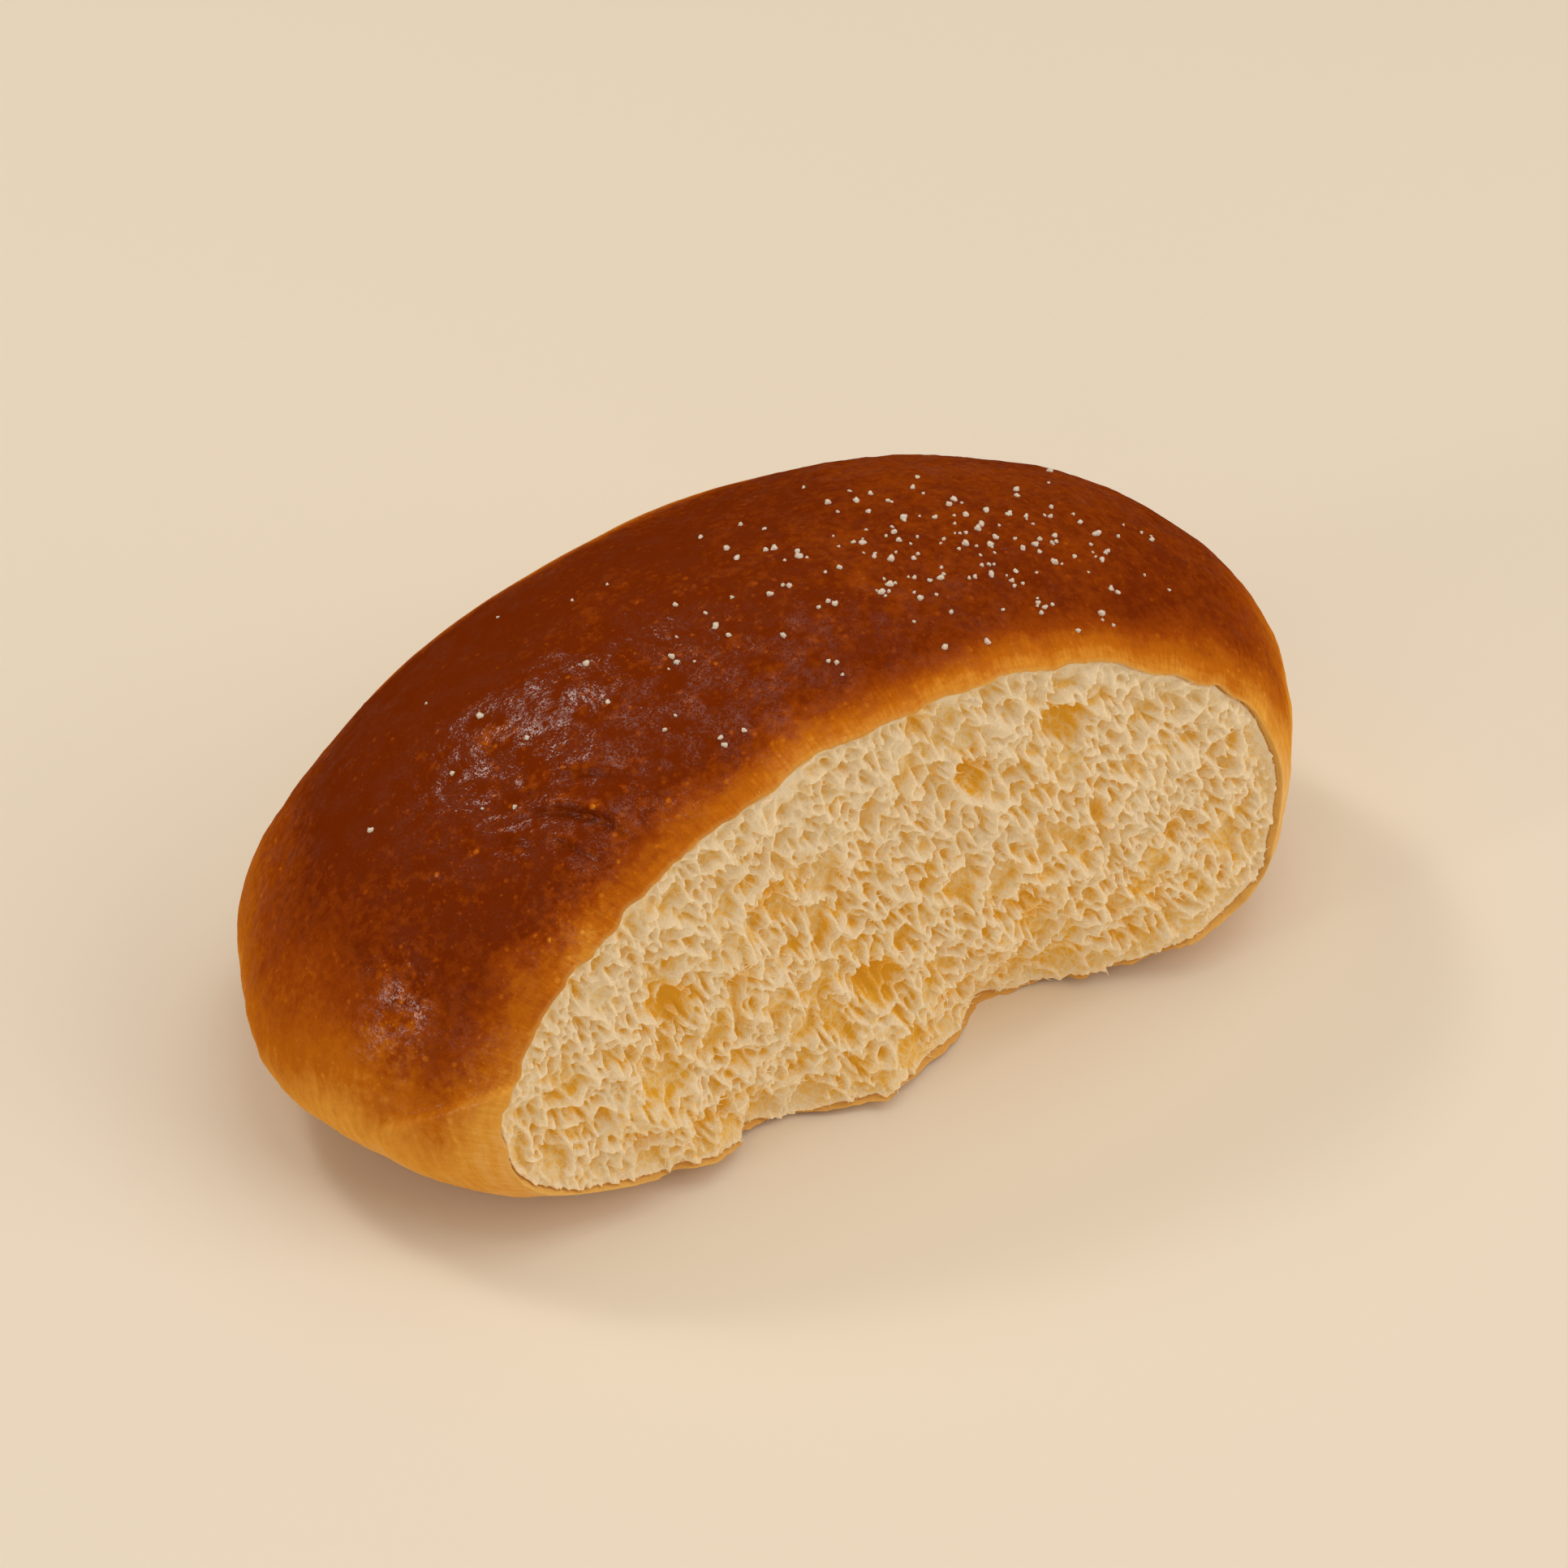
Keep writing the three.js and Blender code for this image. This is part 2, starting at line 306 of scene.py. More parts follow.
def foot_lip(point):
    """How much of the near foot's lip there is at a point: full just under its fold, fading to the base."""
    x, y, z = point[..., 0], point[..., 1], point[..., 2]
    under = LIP_HEIGHT + LIP_SLOPE * y - z
    full = steps(-0.5, 0.7, under) * np.exp(-np.maximum(under, 0) / LIP_FADE)
    return full * steps(-13, -19, y) * steps(-36, -42, x)


def crust_relief(point):
    """How far the crust stands out from the smooth dome."""
    x, y, z = point[..., 0], point[..., 1], point[..., 2]
    height = np.zeros_like(x)
    for size, along, across, phase in SWELLS:
        height += size * np.sin(x / along + phase) * np.cos(y / across + phase)
    for middle_x, middle_y, middle_z, reach, size in BULGES:
        gap = (x - middle_x) ** 2 + (y - middle_y) ** 2 + (z - middle_z) ** 2
        height += size * np.exp(-gap / reach ** 2)
    slot, lip = crease_shape(point)
    return height - slot + lip + LIP_RISE * foot_lip(point)


def grid_normals(points):
    """Unit normals of a grid that closes round its first direction, pointing out of the roll."""
    round_way = np.roll(points, -1, axis=0) - np.roll(points, 1, axis=0)
    across_way = np.gradient(points, axis=1)
    normal = np.cross(across_way, round_way)
    return normal / np.linalg.norm(normal, axis=2, keepdims=True)


outward = grid - [0, 0, WAIST_HEIGHT]
outward[..., 0] -= CROWN_SHIFT * np.maximum(outward[..., 2], 0) / CROWN_RISE
outward /= np.linalg.norm(outward, axis=2, keepdims=True)
crust = grid + outward * crust_relief(grid)[..., None]
normals = grid_normals(crust)
crust[..., 2] = np.maximum(crust[..., 2], 0)
print("crust height in mm:", round(crust[..., 2].max(), 1))

# %% [markdown]
# ## The torn edge of the crust
# The crust tore off as a thin skin: thick at the top, almost nothing at the base. An open edge would look
# like paper, so some more rows of points turn over the edge, go in behind the crumb and close there. The
# mesh stays one closed skin.

# %% Rim and closing behind the crumb
# each rim point: share of the skin's thickness inwards, and millimetres out of the tear
RIM = [(0.08, 0.0), (0.18, -0.2), (0.32, -0.8), (0.5, -1.7), (0.8, -3.0), (1.3, -4.5)]
RIM_THICK = 0.8
RIM_THIN = 0.25
RIM_SET_BACK = 0.6
THICKNESS_WANDER = 0.4
SET_BACK_WANDER = 0.25
CLOSING_RINGS = 8
CLOSING_DEPTH = 10.0


def into_tear(normal):
    """Directions from the crust's edge toward the middle of a torn face."""
    inward = -normal * [1, 0, 1]
    return inward / np.linalg.norm(inward, axis=1, keepdims=True)


def rim_rows(tear, edge, normal):
    """Rows of points that turn the crust's edge over and close the roll behind the crumb."""
    inward = into_tear(normal)
    run = np.arange(len(edge)) / len(edge) * girth
    upper = steps(2, 12, edge[:, 2])
    uneven = 1 + THICKNESS_WANDER * wander_round(run, girth, tear["seed"])
    thick = RIM_THIN + (RIM_THICK - RIM_THIN) * upper * uneven
    back = RIM_SET_BACK * (1 - upper) + SET_BACK_WANDER * wander_round(run, girth, tear["seed"] + 1)
    rows = []
    for share, out in RIM:
        row = edge + inward * (thick * share)[:, None]
        row[:, 1] += tear["facing"] * (out - back * min(share * 2, 1))
        rows.append(row)
    last = rows[-1]
    middle = last.mean(axis=0)
    for ring in range(1, CLOSING_RINGS + 1):
        row = last + (middle - last) * ring / (CLOSING_RINGS + 1)
        row[:, 1] = tear["facing"] * (tear_reach(tear, row[:, 0], row[:, 2]) - CLOSING_DEPTH)
        rows.append(row)
    return rows


front_rows = rim_rows(FRONT, crust[:, 0], normals[:, 0])
back_rows = rim_rows(BACK, crust[:, -1], normals[:, -1])
skin = np.stack(front_rows[::-1] + [crust[:, j] for j in range(ACROSS_STEPS + 1)] + back_rows, axis=1)
print("skin grid:", skin.shape)

# %% [markdown]
# ## What the oven did, and painted shade
# The crown is the darkest. The dough stayed pale where a neighbour shaded it, along both tears, and near
# the foot. A painted picture could hold this, but the points of the skin already know where they are. So
# browning is a number at every point, worked out from height and from the distance to the tear. The same
# number also holds painted shade in the slots of the folds, and a paler far crown that is partly painted
# sheen.

# %% Browning
PALE_FOOT = 6.0
BROWN_FOOT = 30.0
FAR_PALE_RISE = 12.0
FAR_BROWN_RISE = 2.0
FOOT_WAVE = 1.2
BAND_WIDTH = 8.0
BAND_WANDER = 0.3
BASE_BROWNING = 0.3
# pale scars: middle x and y, radius, and how much browning they lost
SCARS = [
    (-31.3, 0.8, 1.7, 0.35), (-33.3, -21.2, 2.6, 0.12), (-40.0, -18.5, 1.6, 0.2), (6.0, -6.0, 1.5, 0.15),
]

crust_x, crust_y, height = crust[..., 0], crust[..., 1], crust[..., 2]
to_front, to_back = across_run, across_run[:, -1:] - across_run
to_tear = np.minimum(to_front, to_back)
far_end = steps(27.0, 48.0, crust_x)
pale_below = PALE_FOOT + FAR_PALE_RISE * far_end
brown_above = BROWN_FOOT + FAR_BROWN_RISE * far_end
foot = (height + FOOT_WAVE * np.sin(crust_y / 5.0) - pale_below) / (brown_above - pale_below)
foot = np.clip(foot, 0, 1)
band_wave = 1 + BAND_WANDER * wander(np.arange(ROUND_STEPS) / ROUND_STEPS * girth * 0.22, 4.0)[:, None]
band = np.minimum(steps(0.0, BAND_WIDTH, to_front * band_wave), steps(-1.0, 4.0, to_back))
band_brown = 0.5 - 0.17 * steps(-36.0, -12.0, crust_x)
browned_and_shaded = (0.08 + 0.92 * foot) * (band_brown + (1 - band_brown) * band)
# darker crown at the near end; the paler far crown is partly paler browning, partly painted sheen
browned_and_shaded += (0.07 * steps(-5.0, -30.0, crust_x) - 0.1 * steps(-15.0, 35.0, crust_x)) * band * foot
for scar_x, scar_y, radius, loss in SCARS:
    gap = np.hypot(crust_x - scar_x, crust_y - scar_y) / radius
    browned_and_shaded -= loss * np.exp(-gap ** 2) * (height > WAIST_HEIGHT)
slot, lip = crease_shape(crust)
# painted shade darkens the slots of the folds; their lips and the near foot's lip are paler
browned_and_shaded += 0.08 * slot - 0.2 * lip - 0.1 * foot_lip(crust)
browned_and_shaded = np.where(height < 0.6, BASE_BROWNING, browned_and_shaded)
print("mean browning:", round(float(browned_and_shaded.mean()), 2))

# %% [markdown]
# ## Egg wash and sugar
# Egg wash ran into glossy pools, and sugar fell mostly on the far side of the crown. Both are soft spots,
# so each is a sum of bell curves. Together with the browning they are kept as named numbers, which the
# materials and the scattering read later.

# %% Pools, sugar and the numbers that are kept
# glossy pools of egg wash: middle x and y, reach in x and y, share
POOLS = [
    (-22, -6, 17, 11, 1.0), (-36, -4, 8, 9, 0.8), (-48.5, -12, 2.6, 2.8, 1.0), (-50, -15, 2.4, 2.4, 1.0),
    (-34, -19, 4, 3, 0.6), (-40, 8, 14, 9, 0.2), (14, -2, 24, 14, 0.15), (-46, -21.5, 4, 3, 0.4),
]
# where sugar fell, in the same way
DRIFTS = [(21, -5, 13, 8, 1.0), (2, -2, 26, 13, 0.16)]
THIN_GLAZE = 0.06
LAST_RIM = len(front_rows)


def soft_spots(spots):
    """The sum of bell curves over the crust, seen from above."""
    total = 0
    for middle_x, middle_y, reach_x, reach_y, share in spots:
        gap = ((crust_x - middle_x) / reach_x) ** 2 + ((crust_y - middle_y) / reach_y) ** 2
        total = total + share * np.exp(-gap)
    return total


def pad_rows(values, rim_value):
    """Adds the rim's and closing's rows to values that were worked out on the crust alone."""
    rim = np.full((ROUND_STEPS, LAST_RIM), float(rim_value))
    return np.concatenate([rim, values, rim], axis=1)


glaze = THIN_GLAZE + soft_spots(POOLS) * (height > 10)
sugar = soft_spots(DRIFTS) * (height > 30) * steps(2.0, 5.0, to_tear)
traits = {
    "browned_and_shaded": pad_rows(browned_and_shaded, 0.1),
    "glaze": pad_rows(np.minimum(glaze, 1.0), 0.0),
    "folded": pad_rows(np.clip(1.5 * slot + 1.5 * lip, 0, 1), 0.0),
    "to_tear": pad_rows(to_tear, -1.0),
    "sugar": pad_rows(sugar, 0.0),
}
print("kept on the skin:", ", ".join(traits))

# %% [markdown]
# ## From rows of points to a mesh
# The rows become squares, each end is closed by a fan of triangles, and a UV map in millimetres lies
# along the skin. A UV map could be unwrapped later, but here the run round the roll and the run from tear
# to tear are already known.

# %% Mesh from a closed grid
RIM_RUN = 0.4


def keep_numbers(mesh, label, values):
    """Keeps one number at each point of a mesh under a label."""
    if label not in mesh.attributes:
        mesh.attributes.new(label, "FLOAT", "POINT")
    mesh.attributes[label].data.foreach_set("value", values.astype(np.float32))


def read_numbers(mesh, label):
    """The numbers that are kept at the points of a mesh under a label."""
    values = np.zeros(len(mesh.vertices), np.float32)
    mesh.attributes[label].data.foreach_get("value", values)
    return values


def add_numbers(mesh, label, values):
    """Adds to the numbers that are kept under a label."""
    keep_numbers(mesh, label, read_numbers(mesh, label) + values.astype(np.float32))


def mesh_from_grid(name, points, traits, across):
    """A closed mesh: the grid wraps round its first direction, and a point closes each end."""
    rounds, rows = points.shape[:2]
    ends = np.stack([points[:, 0].mean(axis=0), points[:, -1].mean(axis=0)])
    vertices = np.concatenate([points.reshape(-1, 3), ends]) + DOME_MIDDLE
    first = np.arange(rounds)[:, None] * rows + np.arange(rows - 1)
    second = (np.arange(rounds)[:, None] + 1) % rounds * rows + np.arange(rows - 1)
    quads = np.stack([first, first + 1, second + 1, second], axis=-1).reshape(-1, 4)
    column = np.arange(rounds) * rows
    after = (np.arange(rounds) + 1) % rounds * rows
    start_fan = np.stack([column, after, np.full(rounds, rounds * rows)], axis=-1)
    stop_fan = np.stack([after + rows - 1, column + rows - 1, np.full(rounds, rounds * rows + 1)], axis=-1)
    mesh = bpy.data.meshes.new(name)
    mesh.from_pydata((vertices * MM).tolist(), [], quads.tolist() + start_fan.tolist() + stop_fan.tolist())
    for label, values in traits.items():
        flat = np.concatenate([values.ravel(), [values[:, 0].mean(), values[:, -1].mean()]])
        keep_numbers(mesh, label, flat)
    u = np.arange(rounds + 1) / rounds * girth
    corner_u = np.stack([u[:-1], u[:-1], u[1:], u[1:]], axis=-1)[:, None].repeat(rows - 1, axis=1)
    v_first, v_second = across[:, :-1], across[:, 1:]
    w_first, w_second = np.roll(v_first, -1, axis=0), np.roll(v_second, -1, axis=0)
    corner_v = np.stack([v_first, v_second, w_second, w_first], axis=-1)
    uv = np.zeros((len(mesh.loops), 2), np.float32)
    uv[:quads.size] = np.stack([corner_u.ravel(), corner_v.ravel()], axis=-1)
    mesh.uv_layers.new(name="skin").data.foreach_set("uv", uv.ravel())
    mesh.shade_smooth()
    return show(name, mesh)


rim_across = np.tile(np.arange(1, LAST_RIM + 1) * RIM_RUN, (ROUND_STEPS, 1))
skin_across = np.concatenate([-rim_across[:, ::-1], across_run, across_run[:, -1:] + rim_across], axis=1)
crust_piece = mesh_from_grid("crust", skin, traits, skin_across)
print("crust squares:", len(crust_piece.data.polygons))


# %% [markdown]
# ## Node trees in script
# Both the geometry and the materials are node trees. They could be drawn by hand in the node editor, but
# a script can be read from top to bottom. A few short helpers keep each step on one line: they add a
# node, do arithmetic, make random numbers, or run a geometry tree and keep its mesh.

# %% Helpers for node trees
def put(tree, kind, values=(), **settings):
    """Adds a node. Values are sockets or numbers, by place or by name, and settings are its properties."""
    made = tree.nodes.new(kind)
    for name, value in settings.items():
        setattr(made, name, value)
    for key, value in values.items() if isinstance(values, dict) else enumerate(values):
        if isinstance(value, bpy.types.NodeSocket):
            tree.links.new(value, made.inputs[key])
        elif value is not None:
            made.inputs[key].default_value = value
    return made


def calc(tree, operation, *values):
    """One arithmetic step in a node tree."""
    return put(tree, "ShaderNodeMath", values, operation=operation).outputs[0]


def add(tree, *values):
    """The sum of values in a node tree."""
    return reduce(lambda total, value: calc(tree, "ADD", total, value), values)


def times(tree, *values):
    """The product of values in a node tree."""
    return reduce(lambda total, value: calc(tree, "MULTIPLY", total, value), values)


def move(tree, operation, *values):
    """One step of vector arithmetic in a node tree."""
    return put(tree, "ShaderNodeVectorMath", values, operation=operation).outputs[0]


def stretch(tree, value, low, high, to_low=0.0, to_high=1.0):
    """Maps a range of values to another one, and holds it at both ends."""
    return put(tree, "ShaderNodeMapRange", [value, low, high, to_low, to_high]).outputs[0]


def cloud(tree, place, scale, detail, roughness=0.5, output=0):
    """Smooth random numbers or colours at each place."""
    values = {"Vector": place, "Scale": scale, "Detail": detail, "Roughness": roughness}
    return put(tree, "ShaderNodeTexNoise", values).outputs[output]


def foam(tree, place, scale, **settings):
    """Random cells: how far each place is from its cell's middle or wall, and a colour for each cell."""
    return put(tree, "ShaderNodeTexVoronoi", {"Vector": place, "Scale": scale}, **settings).outputs


def number(tree, label):
    """A number that is kept on the mesh, in a geometry tree or a material."""
    if tree.type == "GEOMETRY":
        return put(tree, "GeometryNodeInputNamedAttribute", {"Name": label}, data_type="FLOAT").outputs[0]
    return put(tree, "ShaderNodeAttribute", attribute_name=label).outputs["Fac"]


def geometry_tree(name, numbers):
    """A geometry tree with one geometry input and named number inputs."""
    tree = bpy.data.node_groups.new(name, "GeometryNodeTree")
    tree.interface.new_socket(name="Geometry", in_out="INPUT", socket_type="NodeSocketGeometry")
    tree.interface.new_socket(name="Geometry", in_out="OUTPUT", socket_type="NodeSocketGeometry")
    for label, value in numbers.items():
        kind = "NodeSocketInt" if isinstance(value, int) else "NodeSocketFloat"
        tree.interface.new_socket(name=label, in_out="INPUT", socket_type=kind).default_value = value
    return tree, put(tree, "NodeGroupInput").outputs


def close_tree(tree, geometry, material):
    """Ends a geometry tree with real geometry and its material."""
    real = put(tree, "GeometryNodeRealizeInstances", [geometry]).outputs[0]
    smooth = put(tree, "GeometryNodeSetShadeSmooth", [real]).outputs[0]
    dressed = put(tree, "GeometryNodeSetMaterial", {"Geometry": smooth, "Material": material}).outputs[0]
    put(tree, "NodeGroupOutput", [dressed])


def count_triangles(piece):
    """How many triangles a piece has."""
    return sum(face.loop_total - 2 for face in piece.data.polygons)


def grow(piece, tree, numbers):
    """Runs a geometry tree on a piece once and keeps the mesh it makes."""
    modifier = piece.modifiers.new(tree.name, "NODES")
    modifier.node_group = tree
    for item in tree.interface.items_tree:
        if item.in_out == "INPUT" and item.name in numbers:
            modifier[item.identifier] = numbers[item.name]
    evaluated = piece.evaluated_get(bpy.context.evaluated_depsgraph_get())
    piece.data = bpy.data.meshes.new_from_object(evaluated)
    piece.data.name = piece.name
    piece.modifiers.remove(piece.modifiers[0])
    return count_triangles(piece)


def ramp(tree, value, stops):
    """A colour for each value, blended between stops of place and colour."""
    made = put(tree, "ShaderNodeValToRGB", [value])
    elements = made.color_ramp.elements
    elements[0].position, elements[1].position = stops[0][0], stops[-1][0]
    for place, _ in stops[1:-1]:
        elements.new(place)
    for element, (_, colour) in zip(elements, stops):
        element.color = (*colour, 1)
    return made.outputs[0]


def blend(tree, share, first, second):
    """Mixes two colours by a share between 0 and 1."""
    first = (*first, 1) if isinstance(first, tuple) else first
    second = (*second, 1) if isinstance(second, tuple) else second
    made = put(tree, "ShaderNodeMix", {0: share, 6: first, 7: second}, data_type="RGBA")
    return made.outputs[2]


def bumps(tree, height, distance, strength):
    """Normals that make a surface look raised."""
    values = {"Height": height, "Distance": distance, "Strength": strength}
    return put(tree, "ShaderNodeBump", values).outputs[0]


def new_material(name, **values):
    """A material with constants set on its Principled shader; returns it with its tree and shader."""
    material = bpy.data.materials.new(name)
    material.use_nodes = True
    tree = material.node_tree
    shader = tree.nodes["Principled BSDF"]
    for label, value in values.items():
        shader.inputs[label.replace("_", " ")].default_value = value
    return material, tree, shader


# %% [markdown]
# ## The look of the crust
# Under its glaze the crust runs from pale gold through amber to a deep red brown, with fine patches, pale
# dots and faint streaks. A painted picture would blur when seen closely. So the material reads the
# browning of each point, with its painted shade, adds random patches to it, and looks up the colour on a
# ramp.

# %% Crust material
# browning, with its painted shade and sheen, and its colour
CRUST_COLOURS = [
    (0.0, (0.86, 0.52, 0.185)), (0.2, (0.74, 0.325, 0.042)), (0.42, (0.50, 0.135, 0.006)),
    (0.68, (0.30, 0.053, 0.003)), (1.0, (0.155, 0.020, 0.0012)),
]
TORN_SKIN_COLOUR = (0.74, 0.42, 0.11)
FIBRES = (2.6, 0.35, 1.0)
STREAKS = (0.14, 0.9, 1.0)
FOLD_TURN = 0.85

crust_look, tree, shader = new_material(
    "browned_and_shaded_crust", Specular_IOR_Level=0.0, Coat_Roughness=0.13, Coat_IOR=1.7)
where = put(tree, "ShaderNodeTexCoord").outputs["Object"]
along_skin = put(tree, "ShaderNodeUVMap", uv_map="skin").outputs[0]
browning_and_shade, tear_gap = number(tree, "browned_and_shaded"), number(tree, "to_tear")
glaze, folded = number(tree, "glaze"), number(tree, "folded")


def mottle(place, scale, size, detail=4.0):
    """A random number between minus and plus a size at each place."""
    return stretch(tree, cloud(tree, place, scale, detail, 0.6), 0.3, 0.7, -size, size)


def granules(scale, fewest, size):
    """Round pale spots, each with a chance of its own."""
    cells = foam(tree, where, scale)
    luck = put(tree, "ShaderNodeSeparateXYZ", [cells["Color"]]).outputs[0]
    radius = stretch(tree, luck, fewest, 1.0, 0.0, 0.45)
    return stretch(tree, calc(tree, "SUBTRACT", radius, cells["Distance"]), 0.0, 0.2, 0.0, size)


near_tear = stretch(tree, tear_gap, 1.0, 9.0, 1.0, 0.0)
near_foot = stretch(tree, browning_and_shade, 0.3, 0.9, 1.0, 0.0)
spots = add(tree, granules(1100.0, 0.62, 0.3), granules(2300.0, 0.45, 0.2))
speckled = times(tree, stretch(tree, browning_and_shade, 0.2, 0.8, 0.1, 1.0), stretch(tree, glaze, 0.1, 0.8, 0.5, 1.2))
fold_place = put(tree, "ShaderNodeMapping", {
    "Vector": where, "Rotation": (0.0, 0.0, FOLD_TURN), "Scale": (0.2, 1.0, 1.0)}).outputs[0]
fold_lines = times(tree, mottle(fold_place, 1000.0, 0.22, 2.0), folded)
brown = add(
    tree, browning_and_shade, mottle(where, 95.0, 0.09, 5.0),
    times(tree, mottle(where, 1100.0, 0.17, 3.0), speckled),
    times(tree, mottle(where, 420.0, 0.1, 3.0), speckled),
    fold_lines,
    times(tree, mottle(move(tree, "MULTIPLY", along_skin, FIBRES), 1.0, 0.05), near_tear),
    times(tree, mottle(move(tree, "MULTIPLY", along_skin, STREAKS), 1.0, 0.05), near_foot),
    times(tree, spots, -1.0, speckled),
)
skin_edge = stretch(tree, tear_gap, -0.6, 0.5, 1.0, 0.0)
crust_colour = blend(tree, skin_edge, ramp(tree, brown, CRUST_COLOURS), TORN_SKIN_COLOUR)
tree.links.new(crust_colour, shader.inputs["Base Color"])
print("crust material nodes:", len(tree.nodes))

# %% [markdown]
# ## The glaze
# Baked egg wash is a clear film, full of burst bubbles and squiggles that flash where they face a window.
# A coat over the whole crust would look like varnish. Here the coat lies only on thin lines and rings, in
# patches, where the egg wash ran together. Bumps make the bubbles that are too small to model.

# %% Glaze on the crust
# burst bubbles: cells to a metre, and radius of the ring in a cell
RINGS = [(1000.0, 0.36), (2200.0, 0.38)]
SQUIGGLES = (1400.0, 2600.0)
CRUST_BUMP = 0.0001
FILM_BUMP = 0.00025

rings = []
for scale, radius in RINGS:
    off = calc(tree, "ABSOLUTE", calc(tree, "SUBTRACT", foam(tree, where, scale)["Distance"], radius))
    rings.append(stretch(tree, off, 0.0, 0.16, 1.0, 0.0))
wrinkle = cloud(tree, where, 2400.0, 3.0)
fine = add(tree, times(tree, rings[0], 0.5), times(tree, rings[1], 0.5), wrinkle)
tree.links.new(bumps(tree, fine, CRUST_BUMP, 0.5), shader.inputs["Normal"])
ripple = add(tree, cloud(tree, where, 1500.0, 2.0), times(tree, fold_lines, 6.0))
tree.links.new(bumps(tree, ripple, FILM_BUMP, 0.35), shader.inputs["Coat Normal"])
tree.links.new(stretch(tree, glaze, 0.0, 1.0, 0.6, 0.45), shader.inputs["Roughness"])
squiggle = times(tree, stretch(tree, calc(tree, "MAXIMUM", *rings), 0.6, 0.9), 0.7)
for scale in SQUIGGLES:
    off = calc(tree, "ABSOLUTE", calc(tree, "SUBTRACT", cloud(tree, where, scale, 1.0), 0.5))
    squiggle = calc(tree, "MAXIMUM", squiggle, stretch(tree, off, 0.0, 0.04, 1.0, 0.0))
patches = stretch(tree, cloud(tree, where, 380.0, 3.0), 0.40, 0.64)
tree.links.new(times(tree, squiggle, patches, glaze), shader.inputs["Coat Weight"])
print("with glaze:", len(tree.nodes))

# %% [markdown]
# ## Blisters
# Gas under the skin raised flat blisters a millimetre or two wide, and the skin sways between them. A
# bump would not show in the outline, so a geometry tree moves the points of the crust themselves.

# %% Blisters in the crust
BLISTERS = {"Blister": 1.7, "Rise": 0.1, "Sway": 0.16}

blister_tree, blister_in = geometry_tree("Crust blisters", BLISTERS)
tree = blister_tree
place = move(tree, "MULTIPLY", put(tree, "GeometryNodeInputPosition").outputs[0], (1000.0, 1000.0, 1000.0))
cells = foam(tree, place, calc(tree, "DIVIDE", 1.0, blister_in["Blister"]))
luck = put(tree, "ShaderNodeSeparateXYZ", [cells["Color"]]).outputs[0]
dome = times(tree, stretch(tree, cells["Distance"], 0.1, 0.55, 1.0, 0.0), luck, blister_in["Rise"])
sway = stretch(tree, cloud(tree, place, 0.22, 3.0), 0.25, 0.75, -1.0, 1.0)
up = put(tree, "ShaderNodeSeparateXYZ", [place]).outputs[2]
amount = times(
    tree, add(tree, dome, times(tree, sway, blister_in["Sway"])),
    stretch(tree, number(tree, "to_tear"), 0.2, 2.0), stretch(tree, up, 0.6, 4.0, 0.0, MM),
)
normal = put(tree, "GeometryNodeInputNormal").outputs[0]
offset = put(tree, "ShaderNodeVectorMath", {0: normal, "Scale": amount}, operation="SCALE").outputs[0]
raised = put(tree, "GeometryNodeSetPosition", {
    "Geometry": blister_in["Geometry"], "Offset": offset}).outputs[0]
close_tree(tree, raised, crust_look)
print("crust triangles:", grow(crust_piece, blister_tree, BLISTERS))

# %% [markdown]
# ## The look of the crumb
# Light goes into torn crumb and comes out again, so its walls glow cream and its hollows glow amber. Full
# scattering through thin walls takes long to render. So some of it is real scattering under the surface,
# and the rest is painted light: the colour is painted amber in the hollows and cream on the walls, and a
# weak glow of the colour that the light would have is added. Both follow how hollow each place is, and a
# fine web of lines stands for the walls that are too thin to model.

# %% Crumb material
# how hollow a place is, as painted shade, with its colour and its painted glow
CRUMB_SHADE_COLOURS = [
    (0.0, (0.54, 0.455, 0.335)), (0.45, (0.52, 0.38, 0.20)), (0.72, (0.51, 0.32, 0.09)),
    (1.0, (0.46, 0.24, 0.02)),
]
PAINTED_GLOW_COLOURS = [(0.0, (0.67, 0.47, 0.23)), (0.5, (0.70, 0.40, 0.11)), (1.0, (0.76, 0.33, 0.02))]
SKIN_COLOUR = (0.60, 0.32, 0.08)
# the web of thin walls: cells to a metre and strength
WEBS = [(950.0, 0.28), (2000.0, 0.18)]
RUFFLE = 0.0009
CRUMB_BUMP = 0.00015
HALF = (0.5, 0.5, 0.5)

crumb_look, tree, shader = new_material(
    "torn_crumb", Roughness=0.85, Subsurface_Weight=0.6, Subsurface_Scale=0.0012, Specular_IOR_Level=0.1,
    Emission_Strength=0.38,
)
shader.inputs["Subsurface Radius"].default_value = (1.0, 0.8, 0.5)
# the glow is seen but isn't used as a lamp: every triangle would be one, and the render would be slow
crumb_look.cycles.emission_sampling = "NONE"
where = put(tree, "ShaderNodeTexCoord").outputs["Object"]
ruffle = move(tree, "SUBTRACT", cloud(tree, where, 700.0, 2.0, output="Color"), HALF)
web_place = move(tree, "ADD", where, move(tree, "MULTIPLY", ruffle, (RUFFLE, RUFFLE, RUFFLE)))
web = 0.0
for scale, size in WEBS:
    wall_gap = foam(tree, web_place, scale, feature="DISTANCE_TO_EDGE")["Distance"]
    web = add(tree, stretch(tree, wall_gap, 0.02, 0.18, size, 0.0), web)
along, _, up = put(tree, "ShaderNodeSeparateXYZ", [where]).outputs
pit = number(tree, "pit")
